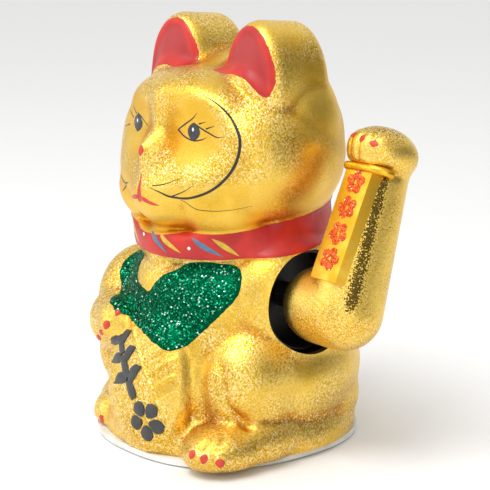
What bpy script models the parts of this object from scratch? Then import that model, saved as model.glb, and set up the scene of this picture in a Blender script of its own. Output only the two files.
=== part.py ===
"""A battery-driven beckoning cat: a hollow ceramic figure with a swinging arm.

Frame: +Z up, the cat faces -Y, its raised left arm is on +X. The origin is the centre of the
base, on the surface that the rubber pads stand on. Sizes in this file are millimetres and are
turned into metres by MM.
"""

import math

import bmesh
import bpy
from mathutils import Euler, Matrix, Vector

MM = 0.001
GAP = 0.3
RUNNING_GAP = 0.1

# Overall figure. The lumps below are drawn for the pattern sizes and stretched to these.
BODY_WIDTH = 160.0
BODY_DEPTH = 160.0
BODY_HEIGHT = 252.0
PATTERN_WIDTH = 160.0
PATTERN_DEPTH = 160.0
PATTERN_HEIGHT = 252.0
CERAMIC_WALL = 4.0

# Collar band round the neck, part of the casting.
COLLAR_RADIUS = 58.5
COLLAR_HALF_HEIGHT = 8.5
COLLAR_TILT = 7.0
COLLAR_CENTRE = (0.0, 5.0, 128.0)

# Shoulder opening and the cup that lines it. The place is drawn at the pattern sizes.
SHOULDER_PLACE = (66.0, 5.5, 92.0)
OPENING_RADIUS = 30.0
CUP_DEPTH = 22.0
CUP_WALL = 1.6
CUP_BORE_RADIUS = 5.0
CUP_RIM_INSET = 1.0
CUP_RIM_CHAMFER = 0.5

# Raised arm.
STUB_RADIUS = 22.4
WRIST_RADIUS = 16.5
WRIST_LENGTH = 12.0
FOREARM_LENGTH = 91.0
FOREARM_LEAN = 19.5
FOREARM_BALLS = 9
PAW_WIDTH = 41.0
PAW_DEPTH = 42.0
PAW_HEIGHT = 31.0
PAW_FORWARD = 2.5
ARM_WALL = 2.0
HEAD_HALF_WIDTH = 72.0
ARM_HEAD_GAP = 5.0
STUB_LENGTH = 19.0
STUB_DOME_CUT = 4.0
HUB_RADIUS = 9.0
HUB_THICKNESS = 4.0
HUB_BOSS_RADIUS = 5.0
HUB_BOSS_LENGTH = 9.0
HUB_SLEEVE_RADIUS = 7.5
HUB_SLEEVE_GAP = 1.0

# Plaque on the front of the forearm.
PLAQUE_WIDTH = 28.0
PLAQUE_FACE_WIDTH = 20.5
PLAQUE_LENGTH = 69.0
PLAQUE_PROUD = 2.0
PLAQUE_DEPTH = 9.0
PLAQUE_START = 12.0
PLAQUE_EXTRA_LEAN = 1.0
PLAQUE_BED_GAP = 0.5
SCROLL_RADIUS = 2.6
SCROLL_LENGTH = 30.0
SCROLL_SET_BACK = 0.8

# Base.
PAD_PROUD = 1.0
PAD_RECESS = 1.0
PAD_RADIUS = 7.0
PAD_PLACE = 46.0
PLATE_THICKNESS = 3.5
PLATE_WIDTH_INSET = 6.0
PLATE_DEPTH_INSET = 4.0
PLATE_SQUARENESS = 2.4

# Batteries, their box and door.
CELL_RADIUS = 7.25
CELL_LENGTH = 50.5
CELL_SPACING = 0.8
NUB_RADIUS = 2.75
NUB_HEIGHT = 1.5
BOX_WALL = 1.5
SPRING_LENGTH = 4.0
SPRING_RADIUS = 3.6
SPRING_WIRE = 0.45
SPRING_TURNS = 3
CONTACT_THICKNESS = 0.5
CONTACT_SIDE = 9.0
SPRING_TAPER = 0.35
SPRING_POINTS = 10
DOOR_THICKNESS = 2.0
DOOR_RECESS = 0.4
FINGER_NOTCH = (14.0, 6.0, 3.0)
HINGE_PIN_RADIUS = 0.9
HINGE_PIN_LENGTH = 3.0
BOX_FRONT = 22.0
CELL_CHAMFER = 0.6

# Switch.
SWITCH_X = -50.0
SWITCH_Y = 34.0
SWITCH_LENGTH = 13.0
SWITCH_WIDTH = 8.0
SWITCH_HEIGHT = 6.0
KNOB_LENGTH = 3.4
KNOB_WIDTH = 2.8
KNOB_TRAVEL = 3.0
KNOB_SHY = 0.6
KNOB_INSIDE = 2.4

# Movement: frame, axle, pendulum and drive coil.
AXLE_RADIUS = 2.0
AXLE_BEYOND_CLIP = 1.0
AXLE_SHORT_OF_BOSS = 1.0
FRAME_INNER_X = 3.5
FRAME_FRONT = -36.0
FRAME_REAR = 18.0
FRAME_FOOT = 2.5
UPRIGHT_THICKNESS = 3.0
UPRIGHT_FOOT_WIDTH = 30.0
UPRIGHT_TOP_WIDTH = 16.0
UPRIGHT_RISE = 8.0
UPRIGHT_FORWARD = 2.0
BUSH_RADIUS = 4.2
BUSH_FLANGE_RADIUS = 6.0
BUSH_FLANGE = 1.0
CLIP_RADIUS = 4.0
CLIP_THICKNESS = 0.8
CLIP_ROOM = 1.1
LEVER_LEAN = 9.9
LEVER_THICKNESS = 4.0
LEVER_WIDTH = 8.0
LEVER_HUB_RADIUS = 5.5
WEIGHT_SIZE = (18.0, 17.0, 22.0)
WEIGHT_ABOVE_MAGNET = 8.0
MAGNET_EXTRA_GAP = 1.5
MAGNET_RADIUS = 6.0
MAGNET_THICKNESS = 4.0
COIL_GAP = 2.6
COIL_HEIGHT = 12.0
COIL_RADIUS = 9.0
BOBBIN_RADIUS = 10.0
BOBBIN_CORE = 4.0
BOBBIN_FLANGE = 1.2
SCREW_RADIUS = 1.2
SCREW_HEAD_RADIUS = 2.6
SCREW_HEAD = 1.8
SCREW_CHAMFER = 0.6
SCREW_DEPTH = 2.2
SCREW_INSET = 3.5
SCREW_ROOM = 2.0

# Circuit board.
BOARD_X = -31.0
BOARD_Y = -16.0
BOARD_LENGTH = 40.0
BOARD_WIDTH = 30.0
BOARD_THICKNESS = 1.6
BOARD_LIFT = 4.0
BOARD_BOSS_RADIUS = 3.2
BOARD_BOSS_INSET = 0.5
BOSS_ROOT = 0.7
CHIP_SIZE = (9.0, 6.0, 2.0)
CHIP_PLACE = (-4.0, 2.0)
CAPACITOR_RADIUS = 3.0
CAPACITOR_HEIGHT = 8.0
CAPACITOR_PLACE = (9.0, -6.0)
WIRE_RADIUS = 0.7
COIL_LEAD_GAP = 0.92

# Values that follow from the ones above.
STRETCH = Vector(
    (BODY_WIDTH / PATTERN_WIDTH, BODY_DEPTH / PATTERN_DEPTH, BODY_HEIGHT / PATTERN_HEIGHT)
)
PLATE_BOTTOM = PAD_PROUD
PLATE_TOP = PLATE_BOTTOM + PLATE_THICKNESS
BODY_BOTTOM = PLATE_TOP + GAP
FLOOR = PLATE_TOP + GAP
SHOULDER = Vector(SHOULDER_PLACE) * STRETCH
CUP_RADIUS = OPENING_RADIUS - GAP
CUP_RIM_X = SHOULDER.x - CUP_RIM_INSET
CUP_FLOOR_X = CUP_RIM_X - CUP_DEPTH
FOREARM_X = HEAD_HALF_WIDTH * STRETCH.x + ARM_HEAD_GAP + PAW_WIDTH / 2
ELBOW = Vector((FOREARM_X - SHOULDER.x, 0.0, 0.0))
STUB_END = ELBOW.x - STUB_LENGTH - STUB_RADIUS + STUB_DOME_CUT
FRAME_OUTER_X = CUP_FLOOR_X - GAP - BUSH_FLANGE - UPRIGHT_THICKNESS - GAP
LEVER_X = (FRAME_INNER_X + UPRIGHT_THICKNESS + FRAME_OUTER_X) / 2
FOOT_TOP = FLOOR + FRAME_FOOT
COIL_BASE = FOOT_TOP + GAP
COIL_TOP = COIL_BASE + COIL_HEIGHT
LEVER_DROP = (SHOULDER.z - COIL_TOP - COIL_GAP) / math.cos(math.radians(LEVER_LEAN))
LEVER_REACH = LEVER_DROP - MAGNET_EXTRA_GAP
BOX_LENGTH = CELL_LENGTH + SPRING_LENGTH + CONTACT_THICKNESS + 4 * GAP
BOX_WIDTH = 4 * CELL_RADIUS + CELL_SPACING + 2 * GAP
DOOR_BOTTOM = PLATE_BOTTOM + DOOR_RECESS
CELL_Z = DOOR_BOTTOM + DOOR_THICKNESS + 2 * GAP + CELL_RADIUS
BOX_TOP = CELL_Z + CELL_RADIUS + GAP
BOX_Y = BOX_FRONT + BOX_WALL + BOX_WIDTH / 2
BOX_REAR = BOX_Y + BOX_WIDTH / 2
DOOR_AXIS_Y = BOX_REAR - HINGE_PIN_RADIUS - 2 * GAP
DOOR_AXIS_Z = DOOR_BOTTOM + DOOR_THICKNESS / 2
BOARD_Z = FLOOR + BOARD_LIFT

TORSO = (
    ((0, 7, 44), (79, 74, 52), (0, 0, 0)),
    ((0, 2, 9), (78, 77, 34), (0, 0, 0)),
    ((0, 10, 62), (75, 72, 62), (0, 0, 0)),
    ((0, 5, 84), (69, 63, 46), (0, 0, 0)),
    ((0, 5, 114), (55, 54, 28), (0, 0, 0)),
    ((48, 5.5, 92), (29, 40, 40), (0, 0, 0)),
    ((-42, 2, 88), (24, 34, 32), (0, 0, 0)),
)
HAUNCHES = (
    ((38, 32, 26), (31, 32, 30), (0, 0, 0)),
    ((50, -20, 46), (27, 35, 34), (0, 0, 0)),
)
FRONT = (
    ((57, -47, 12), (22, 29, 15), (0, 0, 0)),
    ((56, -27, 14), (24, 36, 18), (0, 0, 0)),
    ((-48, -24, 14), (24, 34, 18), (0, 0, 0)),
    ((-40, -43, 13), (18, 26, 14), (0, 0, 0)),
    ((-51, -24, 76), (24, 31, 34), (0, 0, 0)),
    ((-42, -44, 68), (22, 24, 21), (0, 0, 0)),
    ((-28, -57, 72), (17, 16, 14), (0, 20, 0)),
    ((2, -60, 42), (37, 17, 46), (-12, -14, 0)),
)
HEAD = (
    ((0, 3, 172), (72, 66, 54), (0, 0, 0)),
    ((0, -22, 194), (50, 36, 30), (0, 0, 0)),
    ((0, -40, 156), (28, 24, 25), (0, 0, 0)),
    ((0, 16, 182), (66, 51, 50), (0, 0, 0)),
)
CHEEKS = (
    ((29, -22, 151), (28, 30, 26), (0, 0, 0)),
    ((36, 16, 188), (31, 32, 42), (0, 0, 0)),
)
EAR_CENTRE = (35.0, -4.0, 213.0)
EAR_RADII = (25.0, 17.0, 39.0)
EAR_DEPTH = 25.0
EAR_LUMPS = 5
EAR_DROP = 2.0

# The grain of the moulded skins, and the share of its faces that each one keeps.
VOXEL = 2.4
SMOOTH_PASSES = 8
BODY_KEEP = 0.05
CAVITY_KEEP = 0.028
ARM_KEEP = 0.09
ARM_CAVITY_KEEP = 0.06
BED_KEEP = 0.12


def collection(name):
    made = bpy.data.collections.new(name)
    bpy.context.scene.collection.children.link(made)
    return made


def material(name, colour, roughness, metallic=0.0):
    made = bpy.data.materials.new(name)
    made.use_nodes = True
    shader = made.node_tree.nodes["Principled BSDF"]
    shader.inputs["Base Color"].default_value = (*colour, 1.0)
    shader.inputs["Roughness"].default_value = roughness
    shader.inputs["Metallic"].default_value = metallic
    made.diffuse_color = (*colour, 1.0)
    return made


for old_object in list(bpy.data.objects):
    bpy.data.objects.remove(old_object, do_unlink=True)
CAT = collection("beckoning_cat")
CUTTERS = collection("cutters")
CUTTERS.hide_render = True
GOLD = material("gold_plating", (0.83, 0.60, 0.16), 0.32, 1.0)
ARM_GOLD = material("arm_gold", (0.85, 0.66, 0.22), 0.28, 1.0)
PLAQUE_GOLD = material("plaque_gold", (0.85, 0.58, 0.10), 0.35, 0.9)
BLACK_PLASTIC = material("black_plastic", (0.01, 0.01, 0.01), 0.5)
WHITE_PLASTIC = material("white_plastic", (0.82, 0.82, 0.78), 0.45)
GREY_PLASTIC = material("grey_plastic", (0.30, 0.30, 0.32), 0.5)
RUBBER = material("rubber", (0.03, 0.03, 0.03), 0.85)
STEEL = material("steel", (0.60, 0.60, 0.62), 0.3, 1.0)
BRASS = material("brass", (0.75, 0.55, 0.25), 0.3, 1.0)
COPPER = material("copper_wire", (0.72, 0.33, 0.16), 0.35, 1.0)
BOARD_GREEN = material("board_green", (0.03, 0.25, 0.10), 0.45)
CELL_SLEEVE = material("cell_sleeve", (0.05, 0.10, 0.35), 0.35)
RED_SLEEVE = material("red_sleeve", (0.60, 0.03, 0.03), 0.5)
BLACK_SLEEVE = material("black_sleeve", (0.02, 0.02, 0.02), 0.5)


def finish_mesh(name, grid, place, where=None, finish=None, parent=None):
    """Turns a bmesh in millimetres into an object whose location is place, also in millimetres."""
    bmesh.ops.scale(grid, vec=(MM, MM, MM), verts=grid.verts)
    mesh = bpy.data.meshes.new(name)
    grid.to_mesh(mesh)
    grid.free()
    made = bpy.data.objects.new(name, mesh)
    (where or CAT).objects.link(made)
    made.location = Vector(place) * MM
    if finish:
        mesh.materials.append(finish)
    if where is CUTTERS:
        made.hide_render = True
        made.display_type = "WIRE"
    if parent:
        made.parent = parent
    return made


def shade(made, degrees=40):
    made.data.shade_smooth()
    made.data.set_sharp_from_angle(angle=math.radians(degrees))
    return made


def box(name, size, place, **options):
    """A box with its centre at place."""
    grid = bmesh.new()
    bmesh.ops.create_cube(grid, size=1.0, matrix=Matrix.Diagonal((*size, 1.0)))
    return finish_mesh(name, grid, place, **options)


def rod(name, radius, length, place, along="Z", sides=24, **options):
    """A cylinder with its centre at place."""
    turns = {"X": Matrix.Rotation(math.pi / 2, 4, "Y"), "Y": Matrix.Rotation(-math.pi / 2, 4, "X")}
    grid = bmesh.new()
    bmesh.ops.create_cone(
        grid,
        cap_ends=True,
        segments=sides,
        radius1=radius,
        radius2=radius,
        depth=length,
        matrix=turns.get(along, Matrix.Identity(4)),
    )
    return finish_mesh(name, grid, place, **options)


def turned(name, profile, place, along="Z", sides=24, **options):
    """A turned piece. The profile is (radius, height): down the outside, then back up the bore."""
    grid = bmesh.new()
    points = [grid.verts.new((radius, 0.0, height)) for radius, height in profile]
    for first, second in zip(points, points[1:]):
        grid.edges.new((first, second))
    if profile[0][0] > 0.0:
        grid.edges.new((points[-1], points[0]))
    made = finish_mesh(name, grid, place, **options)
    if along == "X":
        made.rotation_euler = (0.0, math.pi / 2, 0.0)
    screw = made.modifiers.new("turn", "SCREW")
    screw.steps = sides
    screw.render_steps = sides
    screw.use_merge_vertices = True
    screw.merge_threshold = 0.00001
    screw.use_smooth_shade = True
    return made


def cut(made, cutter, operation="DIFFERENCE"):
    change = made.modifiers.new(cutter.name, "BOOLEAN")
    change.operation = operation
    change.object = cutter
    change.solver = "EXACT"
    return change


def round_edges(made, width, segments=2, degrees=40):
    bevel = made.modifiers.new("round", "BEVEL")
    bevel.width = width * MM
    bevel.segments = segments
    bevel.limit_method = "ANGLE"
    bevel.angle_limit = math.radians(degrees)
    return bevel


def tube(name, points, radius, finish):
    """A round wire on a straight-sided spline through the given points."""
    curve = bpy.data.curves.new(name, "CURVE")
    curve.dimensions = "3D"
    curve.bevel_depth = radius * MM
    curve.bevel_resolution = 2
    curve.use_fill_caps = True
    spline = curve.splines.new("POLY")
    spline.points.add(len(points) - 1)
    for knot, point in zip(spline.points, points):
        knot.co = (*(Vector(point) * MM), 1.0)
    curve.materials.append(finish)
    made = bpy.data.objects.new(name, curve)
    CAT.objects.link(made)
    return made


def smooth_route(points, steps=4):
    """Points on a Catmull-Rom curve through the given ones."""
    route = [Vector(point) for point in points]
    ends = [2 * route[0] - route[1]] + route + [2 * route[-1] - route[-2]]
    found = []
    for index in range(1, len(ends) - 2):
        before, start, end, after = ends[index - 1 : index + 3]
        for step in range(steps):
            part = step / steps
            found.append(
                0.5
                * (
                    2 * start
                    + (end - before) * part
                    + (2 * before - 5 * start + 4 * end - after) * part**2
                    + (3 * start - before - 3 * end + after) * part**3
                )
            )
    return found + [route[-1]]


def mirrored(lumps):
    """The lumps and their reflections across the middle plane."""
    copies = [((-x, y, z), radii, (rx, -ry, -rz)) for (x, y, z), radii, (rx, ry, rz) in lumps]
    return list(lumps) + copies


def add_lumps(grid, lumps, shrink, stretch):
    for centre, radii, turn in lumps:
        place = Matrix.Translation(Vector(centre) * stretch)
        spin = Euler([math.radians(angle) for angle in turn]).to_matrix().to_4x4()
        size = [max(radius * factor - shrink, 1.0) for radius, factor in zip(radii, stretch)]
        matrix = place @ spin @ Matrix.Diagonal((*size, 1.0))
        bmesh.ops.create_uvsphere(grid, u_segments=40, v_segments=24, radius=1.0, matrix=matrix)


def add_collar(grid):
    centre = Matrix.Translation(Vector(COLLAR_CENTRE) * STRETCH)
    tilt = Matrix.Rotation(math.radians(COLLAR_TILT), 4, "X")
    half = Matrix.Diagonal((STRETCH.x, STRETCH.y, 1.0, 1.0))
    bmesh.ops.create_cone(
        grid,
        cap_ends=True,
        segments=64,
        radius1=COLLAR_RADIUS,
        radius2=COLLAR_RADIUS,
        depth=2 * COLLAR_HALF_HEIGHT,
        matrix=centre @ tilt @ half,
    )


def moulded(made, ratio):
    """Melts the lumps of an object into one skin, evens it and thins its faces."""
    melt = made.modifiers.new("melt", "REMESH")
    melt.mode = "VOXEL"
    melt.voxel_size = VOXEL * MM
    ease = made.modifiers.new("ease", "SMOOTH")
    ease.factor = 0.5
    ease.iterations = SMOOTH_PASSES
    thin = made.modifiers.new("thin", "DECIMATE")
    thin.ratio = ratio
    return made


def ear_lumps():
    """One ear as a row of equal domes from front to back, each a little lower than the one before."""
    x, y, z = EAR_CENTRE
    steps = [step / (EAR_LUMPS - 1) for step in range(EAR_LUMPS)]
    return [
        ((x, y + EAR_DEPTH * part, z - EAR_DROP * part), EAR_RADII, (0, 0, 0)) for part in steps
    ]


def body_lumps():
    torso = list(TORSO) + mirrored(HAUNCHES) + list(FRONT)
    return torso + list(HEAD) + mirrored(list(CHEEKS) + ear_lumps())


def make_body():
    skin = bmesh.new()
    add_lumps(skin, body_lumps(), 0.0, STRETCH)
    add_collar(skin)
    body = moulded(finish_mesh("body_shell", skin, (0, 0, 0), finish=GOLD), BODY_KEEP)
    hollow = bmesh.new()
    add_lumps(hollow, body_lumps(), CERAMIC_WALL, STRETCH)
    cavity = moulded(finish_mesh("body_cavity", hollow, (0, 0, 0), where=CUTTERS), CAVITY_KEEP)
    below = box("below_body", (400, 400, 200), (0, 0, BODY_BOTTOM - 100), where=CUTTERS)
    shoulder = rod(
        "shoulder_opening",
        OPENING_RADIUS,
        60,
        (CUP_FLOOR_X + 30, SHOULDER.y, SHOULDER.z),
        along="X",
        sides=48,
        where=CUTTERS,
    )
    for cutter in (below, cavity, shoulder):
        cut(body, cutter)
    shade(body, 50)


def make_cup():
    inner = CUP_RADIUS - CUP_WALL
    turned(
        "socket_cup",
        (
            (CUP_RADIUS - CUP_RIM_CHAMFER, CUP_DEPTH),
            (CUP_RADIUS, CUP_DEPTH - CUP_RIM_CHAMFER),
            (CUP_RADIUS, 0.0),
            (CUP_BORE_RADIUS, 0.0),
            (CUP_BORE_RADIUS, CUP_WALL),
            (inner, CUP_WALL),
            (inner, CUP_DEPTH),
        ),
        (CUP_FLOOR_X, SHOULDER.y, SHOULDER.z),
        along="X",
        sides=48,
        finish=BLACK_PLASTIC,
    )


def forearm_radius(along):
    part = min(along / (FOREARM_LENGTH - WRIST_LENGTH), 1.0)
    return STUB_RADIUS + (WRIST_RADIUS - STUB_RADIUS) * part


def arm_lumps(grid, grow):
    """The raised arm about the shoulder axis: a domed stub, an elbow, a tapered forearm and a paw."""
    lean = Matrix.Rotation(math.radians(-FOREARM_LEAN), 4, "X")
    radius = STUB_RADIUS + grow
    dome = Matrix.Translation((ELBOW.x - STUB_LENGTH, 0, 0))
    bmesh.ops.create_uvsphere(grid, u_segments=36, v_segments=24, radius=radius, matrix=dome)
    stub_middle = Matrix.Translation((ELBOW.x - STUB_LENGTH / 2, 0, 0))
    bmesh.ops.create_cone(
        grid,
        cap_ends=True,
        segments=36,
        radius1=radius,
        radius2=radius,
        depth=STUB_LENGTH,
        matrix=stub_middle @ Matrix.Rotation(math.pi / 2, 4, "Y"),
    )
    for step in range(FOREARM_BALLS):
        along = FOREARM_LENGTH * step / FOREARM_BALLS
        spot = Matrix.Translation(ELBOW) @ lean @ Matrix.Translation((0, 0, along))
        radius = forearm_radius(along) + grow
        bmesh.ops.create_uvsphere(grid, u_segments=32, v_segments=20, radius=radius, matrix=spot)
    paw = Matrix.Translation(ELBOW) @ lean @ Matrix.Translation((0, -PAW_FORWARD, FOREARM_LENGTH))
    size = Matrix.Diagonal((PAW_WIDTH / 2 + grow, PAW_DEPTH / 2 + grow, PAW_HEIGHT / 2 + grow, 1.0))
    bmesh.ops.create_uvsphere(grid, u_segments=36, v_segments=24, radius=1.0, matrix=paw @ size)


def make_arm(pivot):
    skin = bmesh.new()
    arm_lumps(skin, 0.0)
    outside = finish_mesh("arm_shell", skin, (0, 0, 0), finish=ARM_GOLD, parent=pivot)
    arm = moulded(outside, ARM_KEEP)
    hollow = bmesh.new()
    arm_lumps(hollow, -ARM_WALL)
    inside = finish_mesh("arm_cavity", hollow, (0, 0, 0), where=CUTTERS, parent=pivot)
    cavity = moulded(inside, ARM_CAVITY_KEEP)
    mouth = rod(
        "arm_mouth",
        HUB_RADIUS + GAP,
        20,
        (STUB_END, 0, 0),
        along="X",
        sides=32,
        where=CUTTERS,
        parent=pivot,
    )
    end = box("arm_end", (20, 80, 80), (STUB_END - 10.0, 0, 0), where=CUTTERS, parent=pivot)
    for cutter in (cavity, mouth, end):
        cut(arm, cutter)
    shade(arm, 50)


def make_hub(pivot):
    """The hub that closes the arm's dome, with a sleeve that runs in to the floor of the cup."""
    sleeve = STUB_END + SHOULDER.x - CUP_FLOOR_X - CUP_WALL - HUB_SLEEVE_GAP
    turned(
        "arm_hub",
        (
            (HUB_BOSS_RADIUS, HUB_BOSS_LENGTH),
            (HUB_BOSS_RADIUS, HUB_THICKNESS),
            (HUB_RADIUS, HUB_THICKNESS),
            (HUB_RADIUS, 0.0),
            (HUB_SLEEVE_RADIUS, 0.0),
            (HUB_SLEEVE_RADIUS, -sleeve),
            (AXLE_RADIUS + GAP, -sleeve),
            (AXLE_RADIUS + GAP, HUB_BOSS_LENGTH),
        ),
        (STUB_END, 0, 0),
        along="X",
        sides=32,
        finish=BLACK_PLASTIC,
        parent=pivot,
    )


def make_plaque(pivot):
    """A tablet on the front of the forearm. Its back follows the arm and its top ends in a scroll bar."""
    taper = math.degrees(math.atan2(STUB_RADIUS - WRIST_RADIUS, FOREARM_LENGTH - WRIST_LENGTH))
    lean = FOREARM_LEAN + taper + PLAQUE_EXTRA_LEAN
    tilt = Matrix.Rotation(math.radians(-lean), 4, "X")
    front = -forearm_radius(0.0) - PLAQUE_PROUD
    middle = tilt @ Vector((0, front + PLAQUE_DEPTH / 2, PLAQUE_START + PLAQUE_LENGTH / 2))
    grid = bmesh.new()
    size = Matrix.Diagonal((PLAQUE_WIDTH, PLAQUE_DEPTH, PLAQUE_LENGTH, 1.0))
    bmesh.ops.create_cube(grid, size=1.0, matrix=size)
    for corner in grid.verts:
        if corner.co.y < 0:
            corner.co.x *= PLAQUE_FACE_WIDTH / PLAQUE_WIDTH
    plaque = finish_mesh("arm_plaque", grid, ELBOW + middle, finish=PLAQUE_GOLD, parent=pivot)
    plaque.rotation_euler = (math.radians(-lean), 0, 0)
    scroll_z = PLAQUE_START + PLAQUE_LENGTH - SCROLL_RADIUS
    top = tilt @ Vector((0, front + SCROLL_SET_BACK, scroll_z))
    scroll = rod(
        "plaque_scroll",
        SCROLL_RADIUS,
        SCROLL_LENGTH,
        ELBOW + top,
        along="X",
        sides=16,
        where=CUTTERS,
        parent=pivot,
    )
    round_edges(scroll, 0.8, 1)
    cut(plaque, scroll, "UNION")
    skin = bmesh.new()
    arm_lumps(skin, PLAQUE_BED_GAP)
    swelled = finish_mesh("plaque_bed", skin, (0, 0, 0), where=CUTTERS, parent=pivot)
    bed = moulded(swelled, BED_KEEP)
    cut(plaque, bed)
    shade(plaque, 35)


def make_axle(pivot):
    clip_x = FRAME_INNER_X - BUSH_FLANGE - CLIP_THICKNESS - CLIP_ROOM - SHOULDER.x
    start = clip_x - AXLE_BEYOND_CLIP
    end = STUB_END + HUB_BOSS_LENGTH - AXLE_SHORT_OF_BOSS
    middle = ((start + end) / 2, 0, 0)
    rod("arm_axle", AXLE_RADIUS, end - start, middle, along="X", finish=STEEL, parent=pivot)
    turned(
        "axle_clip",
        (
            (CLIP_RADIUS, CLIP_THICKNESS),
            (CLIP_RADIUS, 0.0),
            (AXLE_RADIUS + GAP, 0.0),
            (AXLE_RADIUS + GAP, CLIP_THICKNESS),
        ),
        (clip_x, 0, 0),
        along="X",
        sides=16,
        finish=STEEL,
        parent=pivot,
    )


def make_pendulum(pivot):
    """A lever below the axle with a steel weight along it and a magnet at its foot."""
    hanger = bpy.data.objects.new("pendulum_line", None)
    CAT.objects.link(hanger)
    hanger.parent = pivot
    hanger.location = Vector((LEVER_X - SHOULDER.x, 0, 0)) * MM
    hanger.rotation_euler = (math.radians(-LEVER_LEAN), 0, 0)
    foot = -(LEVER_REACH - MAGNET_THICKNESS - GAP)
    size = (LEVER_THICKNESS, LEVER_WIDTH, -foot)
    lever = box("swing_lever", size, (0, 0, foot / 2), finish=GREY_PLASTIC, parent=hanger)
    hub = rod(
        "lever_hub",
        LEVER_HUB_RADIUS,
        LEVER_THICKNESS + 2.0,
        (0, 0, 0),
        along="X",
        where=CUTTERS,
        parent=hanger,
    )
    bore = rod("lever_bore", AXLE_RADIUS + GAP, 20, (0, 0, 0), along="X", where=CUTTERS, parent=hanger)
    cut(lever, hub, "UNION")
    cut(lever, bore)
    weight_z = foot + WEIGHT_ABOVE_MAGNET + WEIGHT_SIZE[2] / 2
    weight = box("counterweight", WEIGHT_SIZE, (0, 0, weight_z), finish=STEEL, parent=hanger)
    slot_size = (LEVER_THICKNESS + 2 * GAP, LEVER_WIDTH + 2 * GAP, WEIGHT_SIZE[2] + 4)
    slot = box("weight_slot", slot_size, (0, 0, weight_z), where=CUTTERS, parent=hanger)
    round_edges(weight, 1.0, 1)
    cut(weight, slot)
    rod(
        "pendulum_magnet",
        MAGNET_RADIUS,
        MAGNET_THICKNESS,
        (0, 0, -LEVER_REACH + MAGNET_THICKNESS / 2),
        finish=STEEL,
        parent=hanger,
    )


def plate_half_sizes():
    return BODY_WIDTH / 2 - PLATE_WIDTH_INSET, BODY_DEPTH / 2 - PLATE_DEPTH_INSET


def frame_screw_places():
    left = FRAME_INNER_X + UPRIGHT_THICKNESS + SCREW_INSET + SCREW_ROOM
    right = FRAME_OUTER_X - SCREW_INSET - SCREW_ROOM
    front = FRAME_FRONT + SCREW_INSET
    rear = FRAME_REAR - SCREW_INSET
    return [(x, y) for x in (left, right) for y in (front, rear)]


def board_screw_places():
    inset = BOARD_BOSS_RADIUS + BOARD_BOSS_INSET
    across = BOARD_LENGTH / 2 - inset
    deep = BOARD_WIDTH / 2 - inset
    return [(BOARD_X - across, BOARD_Y - deep), (BOARD_X + across, BOARD_Y + deep)]


def pad_places():
    return [(x * PAD_PLACE * STRETCH.x, y * PAD_PLACE * STRETCH.y) for x in (-1, 1) for y in (-1, 1)]


def make_plate():
    """The moulded base: a rounded square with the battery opening, bosses, pad recesses and holes."""
    half_x, half_y = plate_half_sizes()
    power = 2.0 / PLATE_SQUARENESS
    grid = bmesh.new()
    ring = []
    for step in range(64):
        angle = 2 * math.pi * step / 64
        across = math.copysign(abs(math.cos(angle)) ** power, math.cos(angle)) * half_x
        deep = math.copysign(abs(math.sin(angle)) ** power, math.sin(angle)) * half_y
        ring.append(grid.verts.new((across, deep, 0.0)))
    lower = grid.faces.new(ring)
    raised = bmesh.ops.extrude_face_region(grid, geom=[lower])
    tops = [item for item in raised["geom"] if isinstance(item, bmesh.types.BMVert)]
    bmesh.ops.translate(grid, vec=(0, 0, PLATE_THICKNESS), verts=tops)
    bmesh.ops.recalc_face_normals(grid, faces=grid.faces)
    plate = finish_mesh("base_plate", grid, (0, 0, PLATE_BOTTOM), finish=WHITE_PLASTIC)
    for number, (x, y) in enumerate(board_screw_places(), 1):
        height = BOARD_LIFT - GAP + BOSS_ROOT + GAP
        boss = rod(
            f"board_boss_{number}",
            BOARD_BOSS_RADIUS,
            height,
            (x, y, PLATE_TOP - BOSS_ROOT + height / 2),
            sides=16,
            where=CUTTERS,
        )
        cut(plate, boss, "UNION")
    for number, (x, y) in enumerate(pad_places(), 1):
        depth = PAD_RECESS + GAP
        size = PAD_RADIUS + GAP
        recess = rod(f"pad_recess_{number}", size, 2 * depth, (x, y, PLATE_BOTTOM), where=CUTTERS)
        cut(plate, recess)
    for number, (x, y) in enumerate(frame_screw_places() + board_screw_places(), 1):
        top = PLATE_TOP if number <= 4 else BOARD_Z - GAP
        depth = SCREW_DEPTH + 2 * GAP
        hole = rod(
            f"screw_hole_{number}",
            SCREW_RADIUS + GAP,
            2 * depth,
            (x, y, top),
            sides=12,
            where=CUTTERS,
        )
        cut(plate, hole)
    opening_size = (BOX_LENGTH, BOX_WIDTH, 20)
    opening = box("battery_opening", opening_size, (0, BOX_Y, PLATE_TOP), where=CUTTERS)
    cut(plate, opening)
    pin_length = BOX_LENGTH + 2 * HINGE_PIN_LENGTH + 2 * GAP
    pins = rod(
        "hinge_holes",
        HINGE_PIN_RADIUS + GAP,
        pin_length,
        (0, DOOR_AXIS_Y, DOOR_AXIS_Z),
        along="X",
        sides=16,
        where=CUTTERS,
    )
    cut(plate, pins)
    notch_place = (0, BOX_FRONT + BOX_WALL, PLATE_BOTTOM)
    notch = box("finger_notch", FINGER_NOTCH, notch_place, where=CUTTERS)
    cut(plate, notch)
    slot_size = (KNOB_LENGTH + KNOB_TRAVEL + 2 * GAP, KNOB_WIDTH + 2 * GAP, 20)
    slot = box("switch_slot", slot_size, (SWITCH_X, SWITCH_Y, PLATE_TOP), where=CUTTERS)
    cut(plate, slot)


def make_pads():
    for number, (x, y) in enumerate(pad_places(), 1):
        depth = PAD_PROUD + PAD_RECESS
        pad = rod(f"pad_{number}", PAD_RADIUS, depth, (x, y, depth / 2), finish=RUBBER)
        round_edges(pad, 0.4, 1)


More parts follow.
